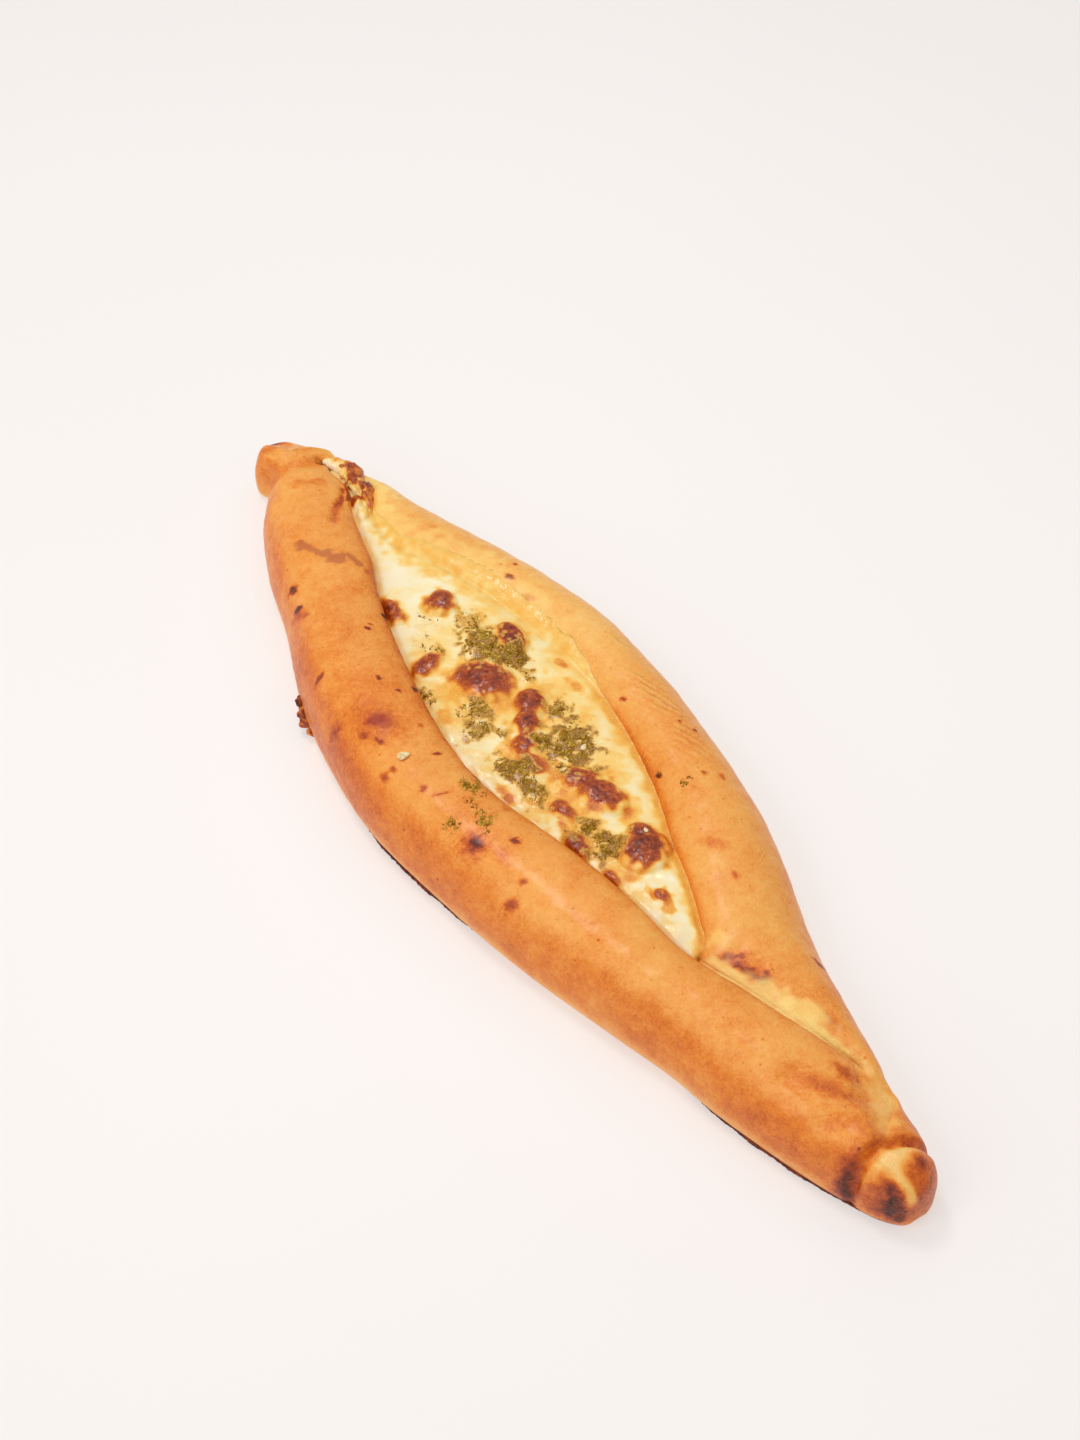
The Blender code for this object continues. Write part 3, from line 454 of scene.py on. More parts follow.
def fold_outside(width, height, crest, middle):
    """One fold's outline from the middle of the floor out, round its foot and up to its crest."""
    foot = FOOT_INSET + width * FOOT_SHARE
    belly = (width, height * BELLY_SHARE)
    return (
        line((middle, 0.0), (width - foot, 0.0), FLOOR_POINTS)
        + quarter((width - foot, 0.0), belly, FOOT_POINTS, True)
        + quarter(belly, (crest, height), OUTER_POINTS, False, FOLD_POWER)
    )


def open_inside(crest, height, lip, lip_z, lip_round, tuck, trough_z, power):
    """From a fold's crest over its rounded lip, back under it and down into the trough."""
    under = (lip + lip_round, lip_z - lip_round)
    back = (under[0] + tuck, under[1] - 0.4)
    return (
        quarter((crest, height), (lip, lip_z), INNER_POINTS, True, power)
        + quarter((lip, lip_z), under, UNDER_POINTS, False)
        + [back, (back[0] - 0.8, trough_z)]
    )


def healed_inside(crest, height, middle, middle_z):
    """From a crest straight across to the middle, where the folds have grown into one."""
    return line((crest, height), (middle, middle_z), INNER_POINTS + UNDER_POINTS + WALL_POINTS + 1)[:-1]


def section(x):
    """The bread's outline at station x: a closed ring of (y, z), from the middle of its floor."""
    near, far = along(NEAR_SIDE, x), along(FAR_SIDE, x)
    near_h, far_h = along(NEAR_HEIGHT, x), along(FAR_HEIGHT, x)
    near_lip, far_lip = -along(NEAR_LIP, x), along(FAR_LIP, x)
    healed = max(ease(*SEAM_HEALS, x), ease(*FAR_SLIT_HEALS, x))
    near_crest = near_lip + (near - near_lip) * CREST_SHARE
    far_edge = max(far_lip, -near_lip)
    far_crest = far_edge + (far - far_edge) * CREST_SHARE
    knob = max(ease(*KNOB_ROUNDS, x), ease(*FAR_KNOB_ROUNDS, x))
    near_crest += (near * KNOB_CREST_SHARE - near_crest) * knob
    far_crest += (far * KNOB_CREST_SHARE - far_crest) * knob
    near_z, far_z, trough = along(NEAR_LIP_Z, x), along(FAR_LIP_Z, x), along(TROUGH_Z, x)
    middle = (far - near) / 2

    near_round, tuck = along(NEAR_LIP_ROUND, x), along(TUCK, x)
    near_inside = open_inside(
        near_crest, near_h, near_lip, near_z, near_round, tuck, trough, NEAR_LIP_POWER,
    )
    far_inside = open_inside(
        far_crest, far_h, far_lip, far_z, FAR_LIP_ROUND, tuck, trough, FAR_LIP_POWER,
    )
    bottom = ((far_lip - near_lip) / 2, trough)

    # Past the slit's end the near fold's edge lies on the far fold, with a crack under it.
    shut = ease(*SLIT_SHUTS, x)
    if shut:
        depth = 1 - 0.85 * ease(*SEAM_FADES, x)
        under = (near_lip + SEAM_ROUND * depth, near_z - SEAM_ROUND)
        crack = (under[0] + SEAM_TUCK * depth, under[1] - 0.2)
        below = under[1] - SEAM_GAP
        near_shut = (
            quarter((near_crest, near_h), (near_lip, near_z), INNER_POINTS, True, NEAR_LIP_POWER)
            + quarter((near_lip, near_z), under, UNDER_POINTS, False)
            + [(crack[0] - 0.5 * depth, crack[1]), (crack[0], crack[1] - 0.2)]
        )
        filled = 1 - ease(*SEAM_FILLED, x)
        edge = (-near_lip + 1.6, below + 0.1 + SEAM_FILL * filled)
        under_lip = (-near_lip - 0.4 * depth + (0.4 * depth + 0.12) * filled, below + SEAM_FILL * filled)
        far_shut = (
            quarter((far_crest, far_h), edge, INNER_POINTS, True, 1.5)
            + line(edge, under_lip, UNDER_POINTS)
            + [(-crack[0] + 0.6 * depth, below), (-crack[0] + 0.1 * depth, below + 0.1)]
        )
        near_inside = mixed(near_inside, near_shut, shut)
        far_inside = mixed(far_inside, far_shut, shut)
        bottom = mixed([bottom], [(-crack[0] - 0.2, crack[1] - SEAM_GAP / 2)], shut)[0]

    if healed:
        top = (near_h + far_h) / 2
        centre = (far_crest - near_crest) / 2
        near_inside = mixed(near_inside, healed_inside(near_crest, near_h, -centre, top), healed)
        far_inside = mixed(far_inside, healed_inside(far_crest, far_h, centre, top), healed)
        bottom = mixed([bottom], [(centre, top)], healed)[0]

    near_half = fold_outside(near, near_h, near_crest, -middle) + near_inside
    far_half = fold_outside(far, far_h, far_crest, middle) + far_inside
    return [(middle, 0.0)] + [(-y, z) for y, z in near_half] + [bottom] + far_half[::-1]


def cap(x):
    """How far the section has closed towards the boat's tip: 1 along the body, 0 at the tip."""
    far, near = (TIP_FAR + FAR_CAP - x) / FAR_CAP, (x - TIP_NEAR + NEAR_CAP) / NEAR_CAP
    past = min(1.0, max(0.0, far, near))
    return (1 - past ** CAP_POWER) ** (1 / CAP_POWER)


def capped(x, y, z):
    """A section's point drawn in towards the tip's centre. Its height closes later than its width."""
    share = cap(x)
    return TIP_Y + (y - TIP_Y) * share, TIP_Z + (z - TIP_Z) * share ** TIP_BLUNTNESS


def distance_to(x, y, start, end):
    """How far (x, y) lies from the straight stretch between two points."""
    dx, dy = end[0] - start[0], end[1] - start[1]
    t = min(1.0, max(0.0, ((x - start[0]) * dx + (y - start[1]) * dy) / (dx * dx + dy * dy)))
    return math.hypot(x - start[0] - dx * t, y - start[1] - dy * t)


def shaped(x, y, z):
    """A point of the bread after the knob's groove, the creases and the dough's own unevenness."""
    groove = GROOVE_X + GROOVE_BOW[y > GROOVE_Y] * (y - GROOVE_Y) ** 2
    pinch = math.exp(-(((x - groove) / GROOVE_WIDTH[x > groove]) ** 2))
    rise = ease(*FADE_DOWN, z)
    reach = math.hypot(y - TIP_Y, z - TIP_Z) or 1.0
    inward = GROOVE_DEPTH * pinch * (0.35 + 0.65 * rise) / reach
    y -= (y - TIP_Y) * inward
    z -= (z - TIP_Z) * inward * rise
    if x > 100 or x < -100:
        for depth, width, *path in CREASES:
            near = min(distance_to(x, y, a, b) for a, b in zip(path, path[1:]))
            z -= depth * rise * math.exp(-((near / width) ** 2))
    swell = sum(noise.noise(Vector((x, y, z)) / length) * high for length, high in SWELLS) * rise
    outward = math.copysign(min(1.0, abs(y) / 20), y)
    return Vector((x, y + swell * SWELL_ASIDE * outward, z + swell))


def bumps(table, x, y):
    """The tallest bump at (x, y) of those in a table, as (x, y, reach, reach across, turn, height)."""
    tallest = 0.0
    for cx, cy, along_x, along_y, turn, height in table:
        a = math.radians(turn)
        u = ((x - cx) * math.cos(a) + (y - cy) * math.sin(a)) / along_x
        v = ((y - cy) * math.cos(a) - (x - cx) * math.sin(a)) / along_y
        far = math.hypot(u, v)
        if far < 1.2:
            tallest = max(tallest, height * (1 - (far / 1.2) ** 2.6) ** 0.8)
    return tallest


def piece_of(name, points, faces, paints=None):
    """A smooth piece from points in millimetres, with its painted values kept on its points."""
    mesh = bpy.data.meshes.new(name)
    mesh.from_pydata([tuple(c * MM for c in p) for p in points], [], faces)
    mesh.validate()
    mesh.update()
    made = bpy.data.objects.new(name, mesh)
    bpy.context.scene.collection.objects.link(made)
    for label, values in (paints or {}).items():
        field = made.data.attributes.new(label, "FLOAT", "POINT")
        field.data.foreach_set("value", np.asarray(values, float))
    mesh.shade_smooth()
    return made


def bands(base, rows, turns):
    """The four-sided faces between rows of points that go round, the first row starting at base."""
    faces = []
    for i in range(rows):
        for j in range(turns):
            a, b = base + i * turns + j, base + i * turns + (j + 1) % turns
            faces.append((a, a + turns, b + turns, b))
    return faces


def lofted(rings, first_tip, last_tip):
    """Points and faces of a closed skin over rings of equal length, with a point at each end."""
    count = len(rings[0])
    points = [p for ring in rings for p in ring] + [first_tip, last_tip]
    first, last = len(points) - 2, len(points) - 1
    faces = bands(0, len(rings) - 1, count)
    top = (len(rings) - 1) * count
    faces += [(first, j, (j + 1) % count) for j in range(count)]
    faces += [(last, top + (j + 1) % count, top + j) for j in range(count)]
    return points, faces


def grain_field(points, size, seed):
    """Smooth noise over points in millimetres, about -0.6 to 0.6, with features of that size."""
    shift = Vector((seed * 7.3, seed * 3.1, seed * 5.7))
    return np.array([noise.noise(Vector(p) / size + shift) for p in points])


def soft_step(low, high, values):
    """0 at low, 1 at high, and smooth between them, for many values at once."""
    t = np.clip((values - low) / (high - low), 0.0, 1.0)
    return t * t * (3 - 2 * t)


def spot(x, y, ragged, centre_x, centre_y, reach, across, turn, softness):
    """1 inside a ragged oval, and 0 outside it, with an edge as wide as softness times its reach."""
    a = math.radians(turn)
    u = ((x - centre_x) * math.cos(a) + (y - centre_y) * math.sin(a)) / reach
    v = ((y - centre_y) * math.cos(a) - (x - centre_x) * math.sin(a)) / across
    return 1 - soft_step(1 - softness, 1 + softness, np.hypot(u, v) + ragged)


def stroke(x, y, ragged, path, half_width, softness):
    """1 along a ragged stroke through a path's points, and 0 away from it."""
    nearest = np.full(len(x), 1e9)
    for start, end in zip(path, path[1:]):
        dx, dy = end[0] - start[0], end[1] - start[1]
        t = np.clip(((x - start[0]) * dx + (y - start[1]) * dy) / (dx * dx + dy * dy), 0, 1)
        nearest = np.minimum(nearest, np.hypot(x - start[0] - dx * t, y - start[1] - dy * t))
    return 1 - soft_step(1 - softness, 1 + softness, nearest / half_width + ragged)


def curve_of(table, x):
    """A table's smooth curve at many x at once."""
    grid = np.linspace(-152, 152, 1217)
    return np.interp(x, grid, [along(table, g) for g in grid])


def pooled(table, x, y, ragged, softness):
    """At each point the strongest of a table's ragged ovals."""
    strongest = np.zeros(len(x))
    for *oval, strength in table:
        strongest = np.maximum(strongest, strength * spot(x, y, ragged, *oval, softness))
    return strongest


def up_to(values, mask, level):
    """Values raised towards a level where the mask is 1, and never lowered."""
    return values + mask * np.maximum(0.0, level - values)


# Each rounded tip has this many stations, and the rest of them are spread along the body.
CAP_STATIONS = 14
BODY_STATIONS = 470


def bread_stations():
    """Stations along X about 0.6 mm apart, closer at the tips."""
    far_start, near_start = TIP_FAR + FAR_CAP, TIP_NEAR - NEAR_CAP
    out = [math.sin(a * math.pi / 2 / (CAP_STATIONS + 0.6)) ** 0.85 for a in range(CAP_STATIONS + 1)]
    found = [far_start - FAR_CAP * share for share in out[:0:-1]]
    found += [far_start + (near_start - far_start) * i / BODY_STATIONS for i in range(BODY_STATIONS)]
    found += [near_start + NEAR_CAP * share for share in out]
    return found


def paint_bread(points, normals):
    """The crust's paint at each point: browning, painted light and shade, sauce, cheese film, egg glaze,
    stretch marks.
    """
    x, y, z = points.T
    up = normals[:, 2]
    broad, patch, mottle, ragged = (
        grain_field(points, size, seed) for seed, size in enumerate(CRUST_PATCHES, 1)
    )
    near_lip, far_lip = curve_of(NEAR_LIP, x), curve_of(FAR_LIP, x)
    on_near = soft_step(-0.8, 0.8, near_lip - y)
    bake_and_painted_light = on_near * curve_of(NEAR_BAKE, x) + (1 - on_near) * curve_of(FAR_BAKE, x)

    # The sides, where the surface turns from facing up, are painted browner than the tops, and the
    # lowest strip over the stone is painted paler as painted bounce light from the white table.
    side = soft_step(0.85, 0.45, up) * soft_step(-0.25, 0.1, up)
    bake_and_painted_light += SIDE_BROWNER * side * (0.6 + 0.4 * on_near)
    low = soft_step(8.0, 2.5, z)
    bake_and_painted_light += (PAINTED_BOUNCE_LEVEL - bake_and_painted_light) * low * 0.8
    lip_near = np.exp(-(((near_lip - y) / 2.4) ** 2)) * soft_step(-112, -98, x) * soft_step(126, 110, x)
    lip_far = np.exp(-(((y - far_lip) / 1.8) ** 2)) * soft_step(-22, -6, x) * soft_step(70, 62, x)
    bake_and_painted_light += LIP_BAKE[0] * lip_near * on_near + LIP_BAKE[1] * lip_far * (1 - on_near)
    bake_and_painted_light += UNEVEN_BAKE[0] * broad + UNEVEN_BAKE[1] * patch + UNEVEN_BAKE[2] * mottle
    stretched = spot(x, y, mottle * 0.8, *STRETCH_MARKS, 0.7)
    bake_and_painted_light += STRETCH_BAKE * stretched

    # The trough under the cheese never browned.
    inside = (y > near_lip + 0.8) * (y < far_lip - 0.8) * (x > -131) * (x < 68)
    bake_and_painted_light = np.where(inside, TROUGH_BAKE, bake_and_painted_light)

    for *oval, level, softness in SPECKS:
        bake_and_painted_light = up_to(bake_and_painted_light, spot(x, y, ragged * 0.7, *oval, softness), level)
    for level, half_width, softness, *path in STROKES:
        bake_and_painted_light = up_to(bake_and_painted_light, stroke(x, y, ragged * 0.6 + mottle * 0.9, path, half_width, softness), level)
    for *oval, level, softness in KNOB_CHAR:
        mask = spot(x, y, mottle * 0.8 + ragged * 0.4, *oval, softness)
        bake_and_painted_light = up_to(bake_and_painted_light, mask * soft_step(1, 5, z), level)
    # Its pinched ridges caught less heat, and stayed pale; the strip by the seam is painted highlight.
    for path, half_width, paleness in PALE_RIDGES_AND_SEAM_HIGHLIGHT:
        pale = stroke(x, y, mottle * 0.8, path, half_width, 0.8) * soft_step(9, 13, z)
        bake_and_painted_light += (PALE_BAKE - bake_and_painted_light) * pale * paleness

    # The foot burnt in a thin line where it touched the hot stone, a line darkened further as painted
    # contact shadow, and the floor is blotched.
    burnt_and_shaded = soft_step(1.9, 0.7, z) * soft_step(-0.98, -0.7, up)
    where = np.maximum(soft_step(-36, -26, x) * soft_step(34, 22, x), soft_step(86, 94, x))
    bake_and_painted_light = up_to(bake_and_painted_light, burnt_and_shaded * where * (y < 0), BURNT_AND_SHADOW_LEVEL)
    bake_and_painted_light = up_to(bake_and_painted_light, burnt_and_shaded * (0.5 + patch), SCORCHED_AND_SHADOW_LEVEL)
    floor = soft_step(-0.8, -0.97, up)
    bake_and_painted_light += (FLOOR_BAKE + 0.28 * patch + 0.2 * broad - bake_and_painted_light) * floor

    stain = np.zeros(len(x))
    for half_width, *path in STAIN:
        stain = np.maximum(stain, stroke(x, y, ragged * 0.6 + mottle * 0.6, path, half_width, 0.30))
    film = pooled(CHEESE_FILM, x, y, mottle + ragged * 0.3, 0.7)
    seam = stroke(x, y, mottle, SEAM_CHEESE, 1.5, 0.6)
    film = np.maximum(film, seam * (1 - on_near))
    glaze = pooled(EGG_POOLS, x, y, mottle * 0.8, 0.9)
    return {
        "bake_and_painted_light": np.clip(bake_and_painted_light, 0, 1), "stain": stain, "film": film * (up > 0), "glaze": glaze,
        "stretched": stretched * soft_step(-0.3, 0.2, patch),
    }


def bread_skin():
    """The whole crust as one closed skin, dimpled, with browning and painted light and shade in its
    points.
    """
    rings = []
    for x in bread_stations():
        rings.append([shaped(x, *capped(x, y, z)) for y, z in section(x)])
    points, faces = lofted(rings, (TIP_FAR, TIP_Y, TIP_Z), (TIP_NEAR, TIP_Y, TIP_Z))
    plain = piece_of("plain_skin", points, faces)
    normals = np.empty(len(points) * 3)
    plain.data.vertex_normals.foreach_get("vector", normals)
    normals = normals.reshape(-1, 3)
    bpy.data.objects.remove(plain)
    places = np.array([tuple(p) for p in points])

    paints = paint_bread(places, normals)
    # The crust is never quite smooth: shallow dimples, and burnt spots that stand up a little.
    dimples = grain_field(places, 4.5, 5) * 0.16 + grain_field(places, 1.7, 6) * 0.07
    dimples += soft_step(0.66, 0.9, paints["bake_and_painted_light"]) * 0.12
    dimples *= soft_step(1.0, 4.0, places[:, 2])
    inner = dimples - SKIN_INSET
    places += normals * inner[:, None] * soft_step(0.5, 3.0, places[:, 2])[:, None]
    return piece_of("bread_skin", places, faces, paints)


def height_over(tree, x, y):
    """How high a skin stands over (x, y), in millimetres."""
    place = tree.ray_cast(Vector((x, y, OVERHEAD)), DOWN)[0]
    return place.z if place else None


def tree_of(piece):
    """A search tree over a piece's faces, in millimetres."""
    points = [v.co / MM for v in piece.data.vertices]
    return BVHTree.FromPolygons(points, [tuple(p.vertices) for p in piece.data.polygons])


# The cheese's skin has this many steps across and along. Over its last 3 mm it is rounded off and
# sinks by END_DROP, and under herbs it heaps up.
ACROSS = 112
STEPS = 480
ROUND_OFF = 3.0
END_DROP = 1.2
HERB_HEAP = 0.75
# Cheese that melted over the far lip lies this thick on it, and at its end dips under the crust.
# Where none melted over, it runs under the crust deeper.
MELT_THICKNESS = 0.34
MELT_DIP = 0.14
HIDDEN_DIP = 0.5
# How far the cheese's edges stand over the tucked-back walls. It swelled up to meet the far fold.
NEAR_RISE = ((-131, 2.6), (-116, 2.4), (-106, 1.6), (-96, 0.8), (60, 0.8))
FAR_RISE = (
    (-131, 1.0), (-116, 1.6), (-104, 3.2), (-90, 4.0), (-30, 4.0), (-12, 3.2), (10, 2.6), (60, 2.4),
)
# How softly the cheese runs into the far fold: a wide fillet where it melted over, none where crisp.
FILLET = ((-112, 1.0), (-98, 2.6), (-30, 2.6), (-12, 0.8), (66, 0.5))


def cheese_top(x, y, low, high, s, lips, shrink):
    """The melted cheese's height at (x, y), on the line between the two lips at share s."""
    clear = min(ease(-0.2, 2.4, y - lips[0]), ease(-0.2, 2.0, lips[1] - y)) * shrink
    rough = noise.noise(Vector((x / 6, y / 6, 3.0))) * 0.35
    low += along(NEAR_RISE, x)
    z = low + (high + along(FAR_RISE, x) - low) * min(s, 1.0)
    blister = bumps(BLISTERS, x, y)
    z += (CHEESE_CROWN * (1 - (2 * s - 1) ** 2) + rough) * clear
    z += blister * min(1.0, clear * 1.3)
    z += bumps(SPILLS, x, y) * min(1.0, clear * 1.6)
    # Blisters are craggy, herbs heap up a little, and the rest pulled into strings and dimples.
    crag = noise.noise(Vector((x / 1.5, y / 1.5, 8.0))) * 0.34
    crag += noise.noise(Vector((x / 0.8, y / 0.8, 2.0))) * 0.22
    close = [clump for clump in CHEESE_HERBS if abs(clump[0] - x) < 9]
    heap = bumps([(cx, cy, rx, ry, 0, HERB_HEAP * wet) for cx, cy, rx, ry, _, wet in close], x, y)
    string = noise.noise(Vector(((x + y) / 9, (y - x) / 4.2, 5.0))) * 0.16
    fine = noise.noise(Vector((x / 2.6, y / 2.6, 1.0))) * 0.10
    z += (crag * min(1.0, blister / 1.6 + heap) * 0.6 + heap * 0.7 + string + fine) * min(1.0, clear * 1.2)
    return z


def cheese_skin(bread_tree):
    """The cheese from lip to lip, thinly melted over the far lip, and a plain underside."""
    back = 1 + FLOOR_POINTS + FOOT_POINTS + OUTER_POINTS + INNER_POINTS + UNDER_POINTS
    rings = []
    for i in range(STEPS + 1):
        t = i / STEPS
        x = CHEESE_FROM + (CHEESE_TO - CHEESE_FROM) * (0.9 * t + 0.1 * (0.5 - 0.5 * math.cos(math.pi * t)))
        ring = section(x)
        trough = ring[back:len(ring) - back + 1]
        low, high = trough[0], trough[-1]
        out = min(x - CHEESE_FROM, CHEESE_TO - x) / ROUND_OFF
        shrink = max(math.sqrt(1 - (1 - out) ** 2) if out < 1 else 1.0, 0.2)
        sunk = (1 - shrink) * END_DROP
        middle_y = (low[0] + high[0]) / 2
        half = max((high[0] - low[0]) / 2 * shrink, 0.6)
        lips = along(NEAR_LIP, x), max(along(FAR_LIP, x), along(NEAR_LIP, x) + 0.5)
        over = along(MELTED_OVER, x)
        over *= 1 + 0.5 * noise.noise(Vector((x / 7, 4.0, 0.0)))
        start = middle_y - half
        end = lips[1] + max(over, 0.9)
        points = []
        for k in range(ACROSS + 1):
            s = k / ACROSS
            y = start + (end - start) * s
            share = (y - start) / (2 * half)
            top = cheese_top(x, y, low[1], high[1], share, lips, shrink)
            place = shaped(x, y, top - sunk)
            past = place.y - lips[1]
            if past > -1.0:
                carried = height_over(bread_tree, place.x, place.y)
                if carried is not None:
                    thick = -HIDDEN_DIP
                    if over > 0.3:
                        thick = MELT_THICKNESS * (1 - ease(0.4 * over, over, past)) - MELT_DIP
                        thick += 0.16 * noise.noise(Vector((x / 1.8, y / 1.8, 6.0)))
                    lifted = carried + thick
                    soft = along(FILLET, x)
                    share = min(1.0, max(0.0, 0.5 + 0.5 * (lifted - place.z) / soft))
                    place.z += (lifted - place.z) * share + soft * share * (1 - share)
            points.append(place)
        roof = min(low[1], high[1]) - CHEESE_EDGE_DROP - sunk - 0.8
        for y, z in trough[-2:0:-1]:
            y = middle_y + (y - middle_y) * shrink
            points.append(shaped(x, y, min(z + 0.4 + sunk, roof)))
        rings.append(points)
    ends = []
    for ring, step in ((rings[0], -0.3), (rings[-1], 3.0)):
        centre = sum(ring[:ACROSS + 1], Vector()) / (ACROSS + 1)
        ends.append(Vector((ring[0][0] + step, centre.y, centre.z - 0.8)))
    points, faces = lofted(rings, *ends)
    places = np.array([tuple(p) for p in points])
    return piece_of("melted_cheese", places, faces, paint_cheese(places))


def paint_cheese(points):
    """How browned the cheese is at each point, and how stained by herbs."""
    x, y, z = points.T
    patch, mottle, ragged = (
        grain_field(points, size, seed) for seed, size in enumerate(CHEESE_PATCHES, 11)
    )
    string = np.array([noise.noise(Vector(((a + b) / 9, (b - a) / 3.0, 5.0))) for a, b in zip(x, y)])
    near_lip, far_lip = curve_of(NEAR_LIP, x), curve_of(FAR_LIP, x)
    middle = soft_step(-66, -50, x) * soft_step(48, 34, x)
    brown = 0.05 + 0.10 * middle + (0.08 + 0.10 * middle) * patch + 0.10 * string + 0.06 * mottle

    # It turns golden where it thinned out over the far lip, and in a thin line along the near one.
    over = curve_of(MELTED_OVER, x)
    edge = soft_step(-7.0, 3.0, y - far_lip + mottle * 3.0 + patch * 2.0) * soft_step(0.2, 2.0, over)
    brown = up_to(brown, edge, 0.31 + 0.06 * mottle)
    rim = soft_step(-4.6, -0.6, y - far_lip + mottle * 2.4) * soft_step(2.0, 0.2, over)
    brown = up_to(brown, rim, 0.30)
    crisp = soft_step(-2.8, -0.6, y - far_lip + mottle * 1.4) * soft_step(2.0, 0.2, over)
    brown = up_to(brown, crisp, 0.40)
    brown = up_to(brown, soft_step(1.8, 0.2, y - near_lip + mottle), 0.20)

    herb = np.zeros(len(x))
    for cx, cy, reach, across, _, wet in CHEESE_HERBS:
        mask = spot(x, y, mottle * 1.3 + ragged * 0.7, cx, cy, reach * 1.05, across * 1.05, 0, 0.45)
        herb = np.maximum(herb, mask * wet)
        oil = spot(x, y, mottle * 1.2, cx, cy, reach * 1.5, across * 1.5, 0, 0.8)
        brown = up_to(brown, oil * min(1.0, wet + 0.1), 0.20)

    for *oval, level in CHEESE_BROWNING:
        soft = 0.85 if level < 0.5 else 0.6
        mask = spot(x, y, mottle * 1.3 + ragged * 0.4, *oval, soft)
        brown = up_to(brown, mask, level - 0.06 + 0.1 * mottle)
    # A blister is golden round its rim, brown on its skin and nearly black on its crown.
    for cx, cy, reach, across, turn, height in BLISTERS:
        crown = 0.60 + 0.06 * height + 0.16 * ragged + 0.16 * mottle
        for share, ragging, soft, level in (
            (1.20, mottle * 0.6, 0.34, 0.40),
            (1.0, mottle * 0.5 + ragged * 0.1, 0.24, 0.55 + 0.10 * ragged + 0.10 * mottle),
            (0.78, mottle * 0.7 + ragged * 0.2, 0.45, crown),
        ):
            mask = spot(x, y, ragging, cx, cy, reach * share, across * share, turn, soft)
            brown = up_to(brown, mask, level)
    for *oval, height in SPILLS:
        mask = spot(x, y, mottle + ragged * 0.6, *oval, 0.4)
        brown = up_to(brown, mask * (height > 1.4), 0.66)
    return {"brown": np.clip(brown, 0, 1), "herb": herb}


def cheese_ridge():
    """The lumpy, browned ridge of cheese that boiled over the far lip."""
    steps, round_points = 110, 44
    rings, levels = [], []
    tables = [[(p[0], p[i]) for p in RIDGE] for i in (1, 2, 3, 4)]
    for i in range(steps + 1):
        t = i / steps
        x = RIDGE[0][0] + (RIDGE[-1][0] - RIDGE[0][0]) * t
        y, z, radius, level = (along(table, x) for table in tables)
        radius *= math.sqrt(max(0.02, 1 - (2 * t - 1) ** 8))
        ring = []
        for j in range(round_points):
            a = 2 * math.pi * j / round_points
            p = Vector((x, y + math.cos(a) * radius * 1.1, z + math.sin(a) * radius))
            lump = 1.06 + 0.36 * noise.noise(p / 2.6) + 0.18 * noise.noise(p / 1.2)
            lump += 0.06 * noise.noise(p / 0.5)
            aside = 0.5 * noise.noise(p / 1.5)
            ring.append(Vector((x + aside, y + (p.y - y) * lump, z + (p.z - z) * lump)))
            outer = math.cos(a - 0.7)
            browned = level - 0.10 + 0.30 * outer + 0.24 * noise.noise(p / 2.2)
            levels.append(browned + 0.14 * noise.noise(p / 0.8))
        rings.append(ring)
    tips = [sum(ring, Vector()) / round_points for ring in (rings[0], rings[-1])]
    points, faces = lofted(rings, *tips)
    levels += [0.35, 0.35]
    paints = {"brown": np.clip(levels, 0, 1), "herb": np.zeros(len(levels))}
    return piece_of("boiled_over_cheese", points, faces, paints)


def foot_crumbs(bread):
    """Scraps of cheese baked hard against the near side's foot."""
    points, faces, levels = [], [], []
    rows, turns = 16, 22
    tree = tree_of(bread)
    for x, z, radius, level in FOOT_CRUMBS:
        wall = tree.ray_cast(Vector((x, -OVERHEAD, z)), Vector((0, 1, 0)))[0]
        centre = Vector((x, wall.y - 0.15 * radius, z))
        base = len(points)
        for i in range(rows + 1):
            for j in range(turns):
                a, b = math.pi * i / rows, 2 * math.pi * j / turns
                aside, out = math.sin(a) * math.cos(b), math.sin(a) * math.sin(b)
                way = Vector((aside, out * 0.9, math.cos(a) * 0.85))
                p = centre + way * radius
                lump = 1 + 0.5 * noise.noise(p / 1.3) + 0.3 * noise.noise(p / 0.6)
                points.append(centre + way * radius * lump)
                levels.append(level + 0.3 * noise.noise(p))
        faces += bands(base, rows, turns)
    paints = {"brown": np.clip(levels, 0, 1), "herb": np.zeros(len(levels))}
    return piece_of("foot_crumbs", points, faces, paints)


